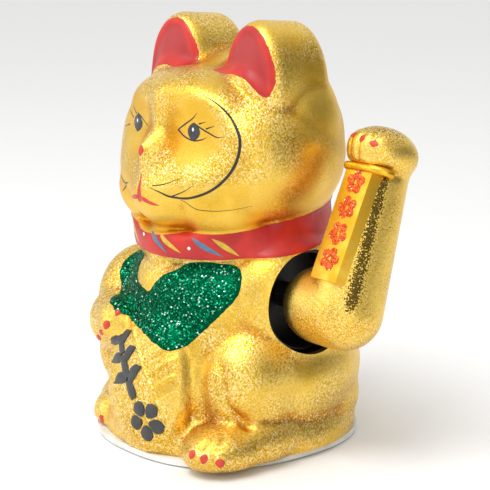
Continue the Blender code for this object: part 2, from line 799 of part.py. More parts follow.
def make_battery_box():
    height = BOX_TOP + BOX_WALL - FLOOR
    outer = (BOX_LENGTH + 2 * BOX_WALL, BOX_WIDTH + 2 * BOX_WALL, height)
    case = box("battery_box", outer, (0, BOX_Y, FLOOR + height / 2), finish=WHITE_PLASTIC)
    room = (BOX_LENGTH, BOX_WIDTH, 40)
    hollow = box("battery_room", room, (0, BOX_Y, BOX_TOP - 20), where=CUTTERS)
    round_edges(case, 0.8, 1)
    cut(case, hollow)


def make_cell(number, y, way):
    """One cell along X. Its raised end points to way, +1 or -1."""
    low = -CELL_LENGTH / 2
    high = CELL_LENGTH / 2 - NUB_HEIGHT
    cell = turned(
        f"battery_{number}",
        (
            (0.0, high + NUB_HEIGHT),
            (NUB_RADIUS, high + NUB_HEIGHT),
            (NUB_RADIUS, high),
            (CELL_RADIUS - CELL_CHAMFER, high),
            (CELL_RADIUS, high - CELL_CHAMFER),
            (CELL_RADIUS, low + CELL_CHAMFER),
            (CELL_RADIUS - CELL_CHAMFER, low),
            (0.0, low),
        ),
        (way * (BOX_LENGTH / 2 - CONTACT_THICKNESS - 2 * GAP - CELL_LENGTH / 2), y, CELL_Z),
        finish=CELL_SLEEVE,
    )
    cell.rotation_euler = (0.0, way * math.pi / 2, 0.0)


def make_contacts(number, y, way):
    """The flat contact at a cell's raised end and the coil spring at its flat end."""
    plate_x = way * (BOX_LENGTH / 2 - GAP - CONTACT_THICKNESS / 2)
    size = (CONTACT_THICKNESS, CONTACT_SIDE, CONTACT_SIDE)
    box(f"contact_plate_{number}", size, (plate_x, y, CELL_Z), finish=STEEL)
    start = -way * (BOX_LENGTH / 2 - GAP - SPRING_WIRE)
    run = SPRING_LENGTH - 2 * SPRING_WIRE
    points = []
    for step in range(SPRING_TURNS * SPRING_POINTS + 1):
        angle = 2 * math.pi * step / SPRING_POINTS
        part = step / (SPRING_TURNS * SPRING_POINTS)
        radius = SPRING_RADIUS * (1.0 - SPRING_TAPER * part)
        across = y + radius * math.cos(angle)
        points.append((start + way * run * part, across, CELL_Z + radius * math.sin(angle)))
    tube(f"contact_spring_{number}", points, SPRING_WIRE, STEEL)


def make_door():
    """The battery door with two hinge pins. Its origin is on the hinge line."""
    front = BOX_FRONT + BOX_WALL + GAP
    length = BOX_LENGTH - 2 * GAP
    depth = DOOR_AXIS_Y - front
    hinge = bpy.data.objects.new("door_hinge", None)
    CAT.objects.link(hinge)
    hinge.location = Vector((0, DOOR_AXIS_Y, DOOR_AXIS_Z)) * MM
    size = (length, depth, DOOR_THICKNESS)
    door = box("battery_door", size, (0, -depth / 2, 0), finish=WHITE_PLASTIC, parent=hinge)
    pins = rod(
        "door_pins",
        HINGE_PIN_RADIUS,
        BOX_LENGTH + 2 * HINGE_PIN_LENGTH,
        (0, 0, 0),
        along="X",
        sides=16,
        where=CUTTERS,
        parent=hinge,
    )
    cut(door, pins, "UNION")


def make_switch():
    size = (SWITCH_LENGTH, SWITCH_WIDTH, SWITCH_HEIGHT)
    middle = (SWITCH_X, SWITCH_Y, FLOOR + SWITCH_HEIGHT / 2)
    body = box("switch_body", size, middle, finish=BLACK_PLASTIC)
    room_size = (KNOB_LENGTH + KNOB_TRAVEL + 2 * GAP, KNOB_WIDTH + 2 * GAP, SWITCH_HEIGHT)
    room = box("switch_room", room_size, (SWITCH_X, SWITCH_Y, FLOOR), where=CUTTERS)
    cut(body, room)
    bottom = PLATE_BOTTOM + KNOB_SHY
    top = FLOOR + KNOB_INSIDE
    place = (SWITCH_X - KNOB_TRAVEL / 2, SWITCH_Y, (bottom + top) / 2)
    box("switch_knob", (KNOB_LENGTH, KNOB_WIDTH, top - bottom), place, finish=BLACK_PLASTIC)


def make_upright(name, x):
    grid = bmesh.new()
    height = SHOULDER.z + UPRIGHT_RISE - FLOOR
    size = Matrix.Diagonal((UPRIGHT_THICKNESS, UPRIGHT_FOOT_WIDTH, height, 1.0))
    bmesh.ops.create_cube(grid, size=1.0, matrix=size)
    for point in grid.verts:
        if point.co.z > 0:
            point.co.y *= UPRIGHT_TOP_WIDTH / UPRIGHT_FOOT_WIDTH
    place = (x + UPRIGHT_THICKNESS / 2, SHOULDER.y - UPRIGHT_FORWARD, FLOOR + height / 2)
    return finish_mesh(name, grid, place, where=CUTTERS)


def make_frame():
    width = FRAME_OUTER_X + UPRIGHT_THICKNESS - FRAME_INNER_X
    depth = FRAME_REAR - FRAME_FRONT
    middle = (FRAME_INNER_X + width / 2, (FRAME_REAR + FRAME_FRONT) / 2, FLOOR + FRAME_FOOT / 2)
    frame = box("movement_frame", (width, depth, FRAME_FOOT), middle, finish=WHITE_PLASTIC)
    cut(frame, make_upright("upright_inner", FRAME_INNER_X), "UNION")
    cut(frame, make_upright("upright_outer", FRAME_OUTER_X), "UNION")
    bore = rod(
        "bush_bores",
        BUSH_RADIUS + GAP,
        120,
        (LEVER_X, SHOULDER.y, SHOULDER.z),
        along="X",
        where=CUTTERS,
    )
    cut(frame, bore)
    for number, (x, y) in enumerate(frame_screw_places(), 1):
        hole = rod(
            f"frame_hole_{number}",
            SCREW_RADIUS + GAP,
            12,
            (x, y, FLOOR),
            sides=12,
            where=CUTTERS,
        )
        cut(frame, hole)


def make_bush(name, x, way):
    """A flanged bush. Its flange lies outside the upright, on the side that way points to."""
    half = UPRIGHT_THICKNESS / 2
    bore = AXLE_RADIUS + RUNNING_GAP
    bush = turned(
        name,
        (
            (BUSH_FLANGE_RADIUS, half + GAP + BUSH_FLANGE),
            (BUSH_FLANGE_RADIUS, half + GAP),
            (BUSH_RADIUS, half + GAP),
            (BUSH_RADIUS, -half),
            (bore, -half),
            (bore, half + GAP + BUSH_FLANGE),
        ),
        (x + half, SHOULDER.y, SHOULDER.z),
        finish=BRASS,
    )
    bush.rotation_euler = (0.0, way * math.pi / 2, 0.0)


def make_screw(name, x, y, seat, grip):
    """A pan-head screw. The seat is the height under its head and grip is what it passes through."""
    turned(
        name,
        (
            (0.0, SCREW_HEAD),
            (SCREW_HEAD_RADIUS - SCREW_CHAMFER, SCREW_HEAD),
            (SCREW_HEAD_RADIUS, SCREW_HEAD - SCREW_CHAMFER),
            (SCREW_HEAD_RADIUS, 0.0),
            (SCREW_RADIUS, 0.0),
            (SCREW_RADIUS, -grip - SCREW_DEPTH),
            (0.0, -grip - SCREW_DEPTH),
        ),
        (x, y, seat + GAP),
        sides=12,
        finish=STEEL,
    )


def make_screws():
    for number, (x, y) in enumerate(frame_screw_places(), 1):
        make_screw(f"frame_screw_{number}", x, y, FOOT_TOP, FRAME_FOOT + GAP)
    for number, (x, y) in enumerate(board_screw_places(), 1):
        seat = BOARD_Z + BOARD_THICKNESS
        make_screw(f"board_screw_{number}", x, y, seat, BOARD_THICKNESS + GAP)


def coil_y():
    return SHOULDER.y - LEVER_REACH * math.sin(math.radians(LEVER_LEAN))


def make_coil():
    turned(
        "coil_bobbin",
        (
            (0.0, COIL_HEIGHT),
            (BOBBIN_RADIUS, COIL_HEIGHT),
            (BOBBIN_RADIUS, COIL_HEIGHT - BOBBIN_FLANGE),
            (BOBBIN_CORE, COIL_HEIGHT - BOBBIN_FLANGE),
            (BOBBIN_CORE, BOBBIN_FLANGE),
            (BOBBIN_RADIUS, BOBBIN_FLANGE),
            (BOBBIN_RADIUS, 0.0),
            (0.0, 0.0),
        ),
        (LEVER_X, coil_y(), COIL_BASE),
        finish=BLACK_PLASTIC,
    )
    turned(
        "drive_coil",
        (
            (COIL_RADIUS, COIL_HEIGHT - BOBBIN_FLANGE - GAP),
            (COIL_RADIUS, BOBBIN_FLANGE + GAP),
            (BOBBIN_CORE + GAP, BOBBIN_FLANGE + GAP),
            (BOBBIN_CORE + GAP, COIL_HEIGHT - BOBBIN_FLANGE - GAP),
        ),
        (LEVER_X, coil_y(), COIL_BASE),
        finish=COPPER,
    )


def make_board():
    size = (BOARD_LENGTH, BOARD_WIDTH, BOARD_THICKNESS)
    middle = (BOARD_X, BOARD_Y, BOARD_Z + BOARD_THICKNESS / 2)
    board = box("circuit_board", size, middle, finish=BOARD_GREEN)
    for number, (x, y) in enumerate(board_screw_places(), 1):
        place = (x, y, BOARD_Z)
        hole = rod(f"board_hole_{number}", SCREW_RADIUS + GAP, 6, place, sides=12, where=CUTTERS)
        cut(board, hole)
    top = BOARD_Z + BOARD_THICKNESS + GAP
    x, y = CHIP_PLACE
    place = (BOARD_X + x, BOARD_Y + y, top + CHIP_SIZE[2] / 2)
    box("driver_chip", CHIP_SIZE, place, finish=BLACK_PLASTIC)
    x, y = CAPACITOR_PLACE
    place = (BOARD_X + x, BOARD_Y + y, top + CAPACITOR_HEIGHT / 2)
    capacitor = rod("capacitor", CAPACITOR_RADIUS, CAPACITOR_HEIGHT, place, finish=BLACK_PLASTIC)
    round_edges(capacitor, 0.5, 1)


def make_wires():
    """Four leads inside the base, each held at both ends and clear of the pendulum."""
    board_top = BOARD_Z + BOARD_THICKNESS + GAP + WIRE_RADIUS
    box_side = -BOX_LENGTH / 2 - BOX_WALL - GAP
    left = BOARD_X - BOARD_LENGTH / 2
    right = BOARD_X + BOARD_LENGTH / 2
    rear = BOARD_Y + BOARD_WIDTH / 2
    tube(
        "wire_battery_red",
        smooth_route(
            (
                (box_side, BOX_Y + 6, CELL_Z),
                (box_side - 4, BOX_Y + 6, CELL_Z),
                (box_side - 6, BOX_Y - 10, CELL_Z + 8),
                (BOARD_X + 4, rear + 4, board_top + 8),
                (BOARD_X + 4, rear - 3, board_top + 2),
                (BOARD_X + 4, rear - 4, board_top),
            )
        ),
        WIRE_RADIUS,
        RED_SLEEVE,
    )
    tube(
        "wire_battery_black",
        smooth_route(
            (
                (box_side, BOX_Y - 6, CELL_Z),
                (box_side - 3, BOX_Y - 6, CELL_Z),
                (SWITCH_X + SWITCH_LENGTH / 2 + 4, SWITCH_Y, FLOOR + 3),
                (SWITCH_X + SWITCH_LENGTH / 2 + GAP, SWITCH_Y, FLOOR + 3),
            )
        ),
        WIRE_RADIUS,
        BLACK_SLEEVE,
    )
    tube(
        "wire_switch",
        smooth_route(
            (
                (SWITCH_X, SWITCH_Y - SWITCH_WIDTH / 2 - GAP, FLOOR + 4),
                (SWITCH_X, SWITCH_Y - SWITCH_WIDTH / 2 - 5, FLOOR + 6),
                (left + 5, rear + 8, board_top + 4),
                (left + 6, rear - 2, board_top + 2),
                (left + 6, rear - 4, board_top),
            )
        ),
        WIRE_RADIUS,
        RED_SLEEVE,
    )
    coil_x = LEVER_X - COIL_RADIUS - GAP
    coil_middle = COIL_BASE + COIL_HEIGHT / 2
    upright_front = SHOULDER.y - UPRIGHT_FORWARD - UPRIGHT_FOOT_WIDTH / 2
    tube(
        "wire_coil",
        smooth_route(
            (
                (right - 3, BOARD_Y - 4, board_top),
                (right, BOARD_Y - 4, board_top + 1),
                (right + 5, BOARD_Y - 3, board_top + 1),
                (FRAME_INNER_X - 3, upright_front - 2, board_top),
                (FRAME_INNER_X + 3, upright_front - COIL_LEAD_GAP, coil_middle),
                (coil_x, coil_y() - 2, coil_middle),
            )
        ),
        WIRE_RADIUS,
        COPPER,
    )


def make_moving_arm():
    pivot = bpy.data.objects.new("arm_pivot", None)
    CAT.objects.link(pivot)
    pivot.location = SHOULDER * MM
    make_arm(pivot)
    make_hub(pivot)
    make_plaque(pivot)
    make_axle(pivot)
    make_pendulum(pivot)


def make_base():
    make_plate()
    make_pads()
    make_battery_box()
    for number, side in ((1, -1), (2, 1)):
        y = BOX_Y + side * (CELL_RADIUS + CELL_SPACING / 2)
        make_cell(number, y, -side)
        make_contacts(number, y, -side)
    make_door()
    make_switch()


def make_movement():
    make_frame()
    make_bush("bearing_inner", FRAME_INNER_X, -1)
    make_bush("bearing_outer", FRAME_OUTER_X, 1)
    make_screws()
    make_coil()
    make_board()
    make_wires()


make_body()
make_cup()
make_moving_arm()
make_base()
make_movement()
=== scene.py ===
# Beckoning cat: the finished look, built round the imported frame.
# Places and sizes in the dictionaries are millimetres: the cat faces -Y and its raised arm is on +X.
import math

import bmesh
import bpy
import numpy as np
from mathutils import Euler, Matrix, Vector
from mathutils.bvhtree import BVHTree


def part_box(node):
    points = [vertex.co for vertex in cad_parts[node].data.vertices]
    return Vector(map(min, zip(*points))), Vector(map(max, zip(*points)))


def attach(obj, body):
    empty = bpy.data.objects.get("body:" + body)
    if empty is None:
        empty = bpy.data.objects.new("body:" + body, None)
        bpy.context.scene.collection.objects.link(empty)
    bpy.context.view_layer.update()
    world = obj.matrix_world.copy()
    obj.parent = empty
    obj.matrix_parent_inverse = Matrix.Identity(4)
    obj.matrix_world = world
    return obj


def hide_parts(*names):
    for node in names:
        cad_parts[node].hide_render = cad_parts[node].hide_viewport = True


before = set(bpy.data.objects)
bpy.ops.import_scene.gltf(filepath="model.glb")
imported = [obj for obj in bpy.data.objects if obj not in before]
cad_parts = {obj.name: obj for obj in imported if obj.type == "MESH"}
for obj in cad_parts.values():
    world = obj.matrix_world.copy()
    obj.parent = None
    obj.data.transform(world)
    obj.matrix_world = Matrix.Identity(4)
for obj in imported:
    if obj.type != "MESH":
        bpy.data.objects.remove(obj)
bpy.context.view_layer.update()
mm = 0.001
scene = bpy.context.scene


# shader maths: a wrapped socket adds Math nodes as an expression is read
class Wire:
    def __init__(self, paint, socket):
        self.paint = paint
        self.socket = socket

    def math(self, kind, *others):
        return self.paint.node("ShaderNodeMath", {"operation": kind}, *((self,) + others))

    def __add__(self, other):
        return self.math("ADD", other)

    __radd__ = __add__

    def __mul__(self, other):
        return self.math("MULTIPLY", other)

    __rmul__ = __mul__

    def __sub__(self, other):
        return self.math("SUBTRACT", other)

    def __rsub__(self, other):
        return self.paint.node("ShaderNodeMath", {"operation": "SUBTRACT"}, other, self)

    def clamp(self):
        return self.paint.node("ShaderNodeClamp", {}, self)

    def step(self, low, high):  # 0 below low, 1 above high, smooth between
        settings = {"interpolation_type": "SMOOTHSTEP"}
        return self.paint.node("ShaderNodeMapRange", settings, self, low, high, 0.0, 1.0)


class Paint:
    # one material, with one method that makes any node
    def __init__(self, name, colour, roughness, metallic=0.0):
        self.material = bpy.data.materials.new(name)
        self.material.use_nodes = True
        self.tree = self.material.node_tree
        self.shader = self.tree.nodes["Principled BSDF"]
        self.set("Base Color", (*colour, 1.0))
        self.set("Roughness", roughness)
        self.set("Metallic", metallic)

    def set(self, socket, value):
        if isinstance(value, Wire):
            self.tree.links.new(value.socket, self.shader.inputs[socket])
        else:
            self.shader.inputs[socket].default_value = value

    def node(self, kind, settings, *values, out=0, **named):
        made = self.tree.nodes.new(kind)
        for key, value in settings.items():
            if key == "stops":
                fillRamp(made.color_ramp, value)
            else:
                setattr(made, key, value)
        for key, value in (*enumerate(values), *named.items()):
            if isinstance(value, Wire):
                self.tree.links.new(value.socket, made.inputs[key])
            else:
                made.inputs[key].default_value = value
        return Wire(self, made.outputs[out])

    def place(self):
        return self.node("ShaderNodeTexCoord", {}, out="Object")

    def attribute(self, name):
        return self.node("ShaderNodeAttribute", {"attribute_name": name}, out="Fac")

    def noise(self, size, detail=2.0, rough=0.5, at=None):  # size is one feature in millimetres
        where, scale = at or self.place(), 1.0 / (size * mm)
        return self.node("ShaderNodeTexNoise", {}, Vector=where, Scale=scale, Detail=detail, Roughness=rough)

    def ramp(self, value, *stops):
        return self.node("ShaderNodeValToRGB", {"stops": stops}, value, out="Color")

    def mix(self, factor, first, second):
        made = self.tree.nodes.new("ShaderNodeMix")
        made.data_type = "RGBA"
        for index, value in ((0, factor), (6, first), (7, second)):
            if isinstance(value, Wire):
                self.tree.links.new(value.socket, made.inputs[index])
            else:
                made.inputs[index].default_value = (*value, 1.0) if index else value
        return Wire(self, made.outputs[2])

    def bump(self, height, depth):  # depth in millimetres for a height of 1
        self.set("Normal", self.node("ShaderNodeBump", {}, Strength=1.0, Distance=depth * mm, Height=height))


def fillRamp(ramp, stops):
    while len(ramp.elements) < len(stops):
        ramp.elements.new(0.5)
    for element, (spot, colour) in zip(ramp.elements, stops):
        element.position = spot
        element.color = (*colour, 1.0)


# camera, floor and lights
view = {"azimuth": 50.0, "elevation": 13.0, "distance": 1.0, "target": (0.0070, 0.0085, 0.114), "lens": 122.0}


def makeCamera():
    azimuth, elevation = math.radians(view["azimuth"]), math.radians(view["elevation"])
    level = math.cos(elevation)
    back = Vector((math.sin(azimuth) * level, -math.cos(azimuth) * level, math.sin(elevation)))
    lens = bpy.data.cameras.new("studioCamera")
    lens.lens = view["lens"]
    lens.sensor_width = 36.0
    camera = bpy.data.objects.new("studioCamera", lens)
    scene.collection.objects.link(camera)
    camera.location = Vector(view["target"]) + back * view["distance"]
    camera.rotation_euler = (-back).to_track_quat("-Z", "Y").to_euler()
    scene.camera = camera


studio = {
    "floorSize": 6.0,
    "floorColour": (0.90, 0.90, 0.90),
    "skyPale": (1.0, 1.0, 0.99),
    "skyDim": (0.22, 0.21, 0.20),
    "skyStrength": 0.92,
    "skyWay": (0.80, 0.55, -0.20),
    "skyFrom": 0.35,
    "skyTo": 0.80,
}
lamps = (  # name, place in metres, width, height, watts
    ("overhead", (0.15, -0.75, 1.45), 0.9, 0.7, 13.0),
    ("frontFill", (-0.9, -1.3, 0.7), 1.2, 1.2, 4.0),
    ("cameraSide", (1.5, -0.9, 0.5), 0.5, 1.2, 3.0),
)


def makeStudio():
    grid = bmesh.new()
    bmesh.ops.create_grid(grid, x_segments=1, y_segments=1, size=studio["floorSize"] / 2)
    mesh = bpy.data.meshes.new("studioFloor")
    grid.to_mesh(mesh)
    grid.free()
    floor = bpy.data.objects.new("studioFloor", mesh)
    scene.collection.objects.link(floor)
    mesh.materials.append(Paint("floorPaper", studio["floorColour"], 0.9).material)
    world = bpy.data.worlds.new("studioSky")
    scene.world = world
    world.use_nodes = True
    nodes, links = world.node_tree.nodes, world.node_tree.links
    backdrop = nodes["Background"]
    coords = nodes.new("ShaderNodeTexCoord")
    # paler in front and above, dimmer behind the raised arm
    towards = nodes.new("ShaderNodeVectorMath")
    towards.operation = "DOT_PRODUCT"
    towards.inputs[1].default_value = studio["skyWay"]
    links.new(coords.outputs["Generated"], towards.inputs[0])
    ramp = nodes.new("ShaderNodeValToRGB")
    fillRamp(ramp.color_ramp, ((studio["skyFrom"], studio["skyPale"]), (studio["skyTo"], studio["skyDim"])))
    links.new(towards.outputs["Value"], ramp.inputs[0])
    links.new(ramp.outputs[0], backdrop.inputs[0])
    backdrop.inputs[1].default_value = studio["skyStrength"]
    for name, place, width, height, watts in lamps:
        light = bpy.data.lights.new(name, "AREA")
        light.shape = "RECTANGLE"
        light.size = width
        light.size_y = height
        light.energy = watts
        lamp = bpy.data.objects.new(name, light)
        scene.collection.objects.link(lamp)
        lamp.location = place
        lamp.rotation_euler = (Vector(view["target"]) - Vector(place)).to_track_quat("-Z", "Y").to_euler()
    scene.view_settings.view_transform = "Standard"


makeCamera()
makeStudio()
print("stage set")


# mesh helpers
def smoothPath(points, steps=8):
    # points on a smooth curve through the given ones
    route = [np.array(point, float) for point in points]
    ends = [2 * route[0] - route[1]] + route + [2 * route[-1] - route[-2]]
    found = []
    for index in range(1, len(ends) - 2):
        before, start, end, after = ends[index - 1 : index + 3]
        for step in range(steps):
            t = step / steps
            found.append(
                0.5
                * (
                    2 * start
                    + (end - before) * t
                    + (2 * before - 5 * start + 4 * end - after) * t * t
                    + (3 * start - before - 3 * end + after) * t * t * t
                )
            )
    return np.array(found + [route[-1]])


def closedPath(points, steps=8):
    route = [np.array(point, float) for point in points]
    ring = smoothPath(route[-2:] + route + route[:2], steps)
    return ring[2 * steps : -2 * steps] if len(ring) > 4 * steps else ring


def addObject(name, mesh):
    made = bpy.data.objects.new(name, mesh)
    scene.collection.objects.link(made)
    return made


def finishGrid(name, grid, smooth=True):
    # millimetres in the grid, metres in the object
    bmesh.ops.scale(grid, vec=(mm, mm, mm), verts=grid.verts)
    mesh = bpy.data.meshes.new(name)
    grid.to_mesh(mesh)
    grid.free()
    if smooth:
        mesh.shade_smooth()
    return addObject(name, mesh)


def evaluated(made):
    # the object's modifiers turned into a plain mesh
    graph = bpy.context.evaluated_depsgraph_get()
    mesh = bpy.data.meshes.new_from_object(made.evaluated_get(graph))
    made.modifiers.clear()
    made.data = mesh
    return made


def points(mesh):
    found = np.empty(len(mesh.vertices) * 3)
    mesh.vertices.foreach_get("co", found)
    return found.reshape(-1, 3) / mm


def normals(mesh):
    found = np.empty(len(mesh.vertices) * 3)
    mesh.vertices.foreach_get("normal", found)
    return found.reshape(-1, 3)


def setPoints(mesh, places):
    mesh.vertices.foreach_set("co", (places * mm).ravel())
    mesh.update()


def addAttribute(mesh, name, values):
    layer = mesh.attributes.new(name, "FLOAT", "POINT")
    layer.data.foreach_set("value", np.asarray(values, np.float32))


def ease(t):
    t = np.clip(t, 0.0, 1.0)
    return t * t * (3 - 2 * t)


def insideDistance(u, v, outline):
    # distance from the outline, positive inside it
    outline = np.asarray(outline, float)
    nearest = np.full(len(u), 1e9)
    inside = np.zeros(len(u), bool)
    for (ax, ay), (bx, by) in zip(outline, np.roll(outline, -1, axis=0)):
        dx, dy = bx - ax, by - ay
        t = np.clip(((u - ax) * dx + (v - ay) * dy) / max(dx * dx + dy * dy, 1e-9), 0, 1)
        nearest = np.minimum(nearest, np.hypot(u - ax - t * dx, v - ay - t * dy))
        if ay != by:
            crosses = ((ay > v) != (by > v)) & (u < dx * (v - ay) / dy + ax)
            inside ^= crosses
    return np.where(inside, nearest, -nearest)


def lineDistance(places, path):
    path = np.asarray(path, float)
    nearest = np.full(len(places), 1e9)
    for start, end in zip(path[:-1], path[1:]):
        along = end - start
        t = np.clip(((places - start) @ along) / max(along @ along, 1e-9), 0, 1)
        nearest = np.minimum(nearest, np.linalg.norm(places - start - t[:, None] * along, axis=1))
    return nearest


def joinRings(grid, rings):
    # a skin from ring to ring, closed at both ends
    size = len(rings[0])
    for first, second in zip(rings[:-1], rings[1:]):
        for step in range(size):
            after = (step + 1) % size
            grid.faces.new((first[step], second[step], second[after], first[after]))
    grid.faces.new(rings[0])
    grid.faces.new(list(reversed(rings[-1])))
    bmesh.ops.recalc_face_normals(grid, faces=grid.faces)


def unitBall():
    # the corners and faces of a ball of radius 1
    grid = bmesh.new()
    bmesh.ops.create_uvsphere(grid, u_segments=48, v_segments=28, radius=1.0)
    corners = np.array([tuple(point.co) for point in grid.verts])
    faces = [[point.index for point in face.verts] for face in grid.faces]
    grid.free()
    return corners, faces


ballCorners, ballFaces = unitBall()


def lumpMesh(name, lumps, shrink=0.0, extra=None):
    # every lump is a ball that is stretched, turned and put in place
    places, faces = [], []
    for centre, radii, *turns in lumps:
        size = np.maximum(np.array(radii, float) - shrink, 1.0)
        spin = Euler([math.radians(angle) for angle in (turns[0] if turns else (0, 0, 0))]).to_matrix()
        start = len(ballCorners) * len(places)
        places.append((ballCorners * size) @ np.array(spin).T + np.array(centre, float))
        faces += [[corner + start for corner in face] for face in ballFaces]
    mesh = bpy.data.meshes.new(name)
    mesh.from_pydata((np.concatenate(places) * mm).tolist(), [], faces)
    if extra:
        grid = bmesh.new()
        grid.from_mesh(mesh)
        extra(grid)
        grid.to_mesh(mesh)
        grid.free()
    mesh.update()
    return addObject(name, mesh)


def meltLumps(made, voxel, passes):
    melt = made.modifiers.new("melt", "REMESH")
    melt.mode = "VOXEL"
    melt.voxel_size = voxel * mm
    even = made.modifiers.new("even", "SMOOTH")
    even.factor = 0.5
    even.iterations = passes
    return evaluated(made)


def refine(made, chosen):
    # splits the edges between chosen points, for finer relief there
    grid = bmesh.new()
    grid.from_mesh(made.data)
    edges = [edge for edge in grid.edges if chosen[edge.verts[0].index] and chosen[edge.verts[1].index]]
    bmesh.ops.subdivide_edges(grid, edges=edges, cuts=1, use_grid_fill=True, smooth=0.0)
    bmesh.ops.triangulate(grid, faces=[face for face in grid.faces if len(face.verts) > 4])
    grid.to_mesh(made.data)
    grid.free()


def cutBox(name, centre, size):
    grid = bmesh.new()
    place = Matrix.Translation(centre) @ Matrix.Diagonal((*size, 1.0))
    bmesh.ops.create_cube(grid, size=1.0, matrix=place)
    return finishGrid(name, grid, smooth=False)


def cutRod(name, centre, radius, length, sides):
    # a rod along X, for a round opening
    grid = bmesh.new()
    place = Matrix.Translation(centre) @ Matrix.Rotation(math.pi / 2, 4, "Y")
    shape = {"cap_ends": True, "segments": sides, "radius1": radius, "radius2": radius, "depth": length}
    bmesh.ops.create_cone(grid, matrix=place, **shape)
    return finishGrid(name, grid, smooth=False)


def subtract(made, *cutters):
    for cutter in cutters:
        change = made.modifiers.new(cutter.name, "BOOLEAN")
        change.operation = "DIFFERENCE"
        change.solver = "EXACT"
        change.object = cutter
    evaluated(made)
    for cutter in cutters:
        bpy.data.objects.remove(cutter, do_unlink=True)
    return made


def hollows(mesh, rounds=6):
    # how hollow the surface is at each point, in millimetres over its neighbours, evened a few times
    places, out = points(mesh), normals(mesh)
    ends = np.empty(len(mesh.edges) * 2, np.int64)
    mesh.edges.foreach_get("vertices", ends)
    first, second = ends.reshape(-1, 2).T
    count = np.bincount(ends, minlength=len(places))

    def around(values):
        return (
            np.bincount(first, values[second], len(places)) + np.bincount(second, values[first], len(places))
        ) / np.maximum(count, 1)

    smoothed = places
    for _ in range(4):
        smoothed = np.stack([around(smoothed[:, axis]) for axis in range(3)], axis=1)
    value = np.einsum("ij,ij->i", smoothed - places, out)
    for _ in range(rounds):
        value = 0.5 * (value + around(value))
    return value


# the casting: the same lumps as the frame, on a finer skin, then worked over
coin = {
    "centre": (2, -60, 42),
    "across": 37.0,
    "deep": 17.0,
    "tall": 46.0,
    "turn": (-12, -14, 0),
    "lean": 27.0,
    "middle": (1.0, -4.0),
    "columnHalf": 15.0,
    "columnTall": 56.0,
    "line": 0.9,
    "lineWidth": 0.75,
    "bar": 0.8,
    "barSunk": 0.35,
    "hatchStep": 8.3,
    "hatchSlope": 0.1,
}
catForm = {
    "torso": (
        ((0, 7, 44), (79, 74, 52)),
        ((0, 2, 9), (78, 77, 34)),
        ((0, 10, 62), (75, 72, 62)),
        ((0, 5, 84), (69, 63, 46)),
        ((0, 5, 114), (55, 54, 28)),
        ((48, 5.5, 92), (29, 40, 40)),
        ((-42, 2, 88), (24, 34, 32)),
    ),
    "haunches": (((38, 32, 26), (31, 32, 30)), ((50, -20, 46), (27, 35, 34))),
    "front": (
        ((57, -47, 12), (22, 29, 15)),
        ((56, -27, 14), (24, 36, 18)),
        ((-48, -24, 14), (24, 34, 18)),
        ((-40, -43, 13), (18, 26, 14)),
        ((-51, -24, 76), (24, 31, 34)),
        ((-42, -44, 68), (22, 24, 21)),
        ((-28, -57, 72), (17, 16, 14), (0, 20, 0)),
        (coin["centre"], (coin["across"], coin["deep"], coin["tall"]), coin["turn"]),
    ),
    "head": (
        ((0, 3, 172), (72, 66, 54)),
        ((0, -22, 194), (50, 36, 30)),
        ((0, -40, 156), (28, 24, 25)),
        ((0, 16, 182), (66, 51, 50)),
        ((0, -29, 148), (38, 29, 19)),
    ),
    "cheeks": (((29, -22, 151), (28, 30, 26)), ((36, 16, 188), (31, 32, 42))),
    "ear": {"centre": (35, -4, 213), "radii": (25, 17, 39), "depth": 25, "domes": 9},
    "collar": {"centre": (0, 5, 128), "radius": 58.5, "half": 8.5, "tilt": 7},
    "voxel": 1.95,
    "smoothing": 12,
    "innerVoxel": 5.0,
    "innerSmoothing": 2,
    "wall": 4.0,
    "bottom": 4.8,
    "opening": 30.0,
}


def mirroredLumps(lumps):
    return list(lumps) + [((-x, y, z), radii) for (x, y, z), radii in lumps]


def catLumps():
    ear = catForm["ear"]
    x, y, z = ear["centre"]
    parts = [step / (ear["domes"] - 1) for step in range(ear["domes"])]
    ears = [((x, y + ear["depth"] * part, z - 2 * part), ear["radii"]) for part in parts]
    lumps = list(catForm["torso"]) + mirroredLumps(catForm["haunches"]) + list(catForm["front"])
    return lumps + list(catForm["head"]) + mirroredLumps(list(catForm["cheeks"]) + ears)


def addCollar(grid):
    collar = catForm["collar"]
    place = Matrix.Translation(collar["centre"]) @ Matrix.Rotation(math.radians(collar["tilt"]), 4, "X")
    radius, depth = collar["radius"], 2 * collar["half"]
    shape = {"cap_ends": True, "segments": 96, "radius1": radius, "radius2": radius, "depth": depth}
    bmesh.ops.create_cone(grid, matrix=Matrix.Diagonal((mm, mm, mm, 1.0)) @ place, **shape)


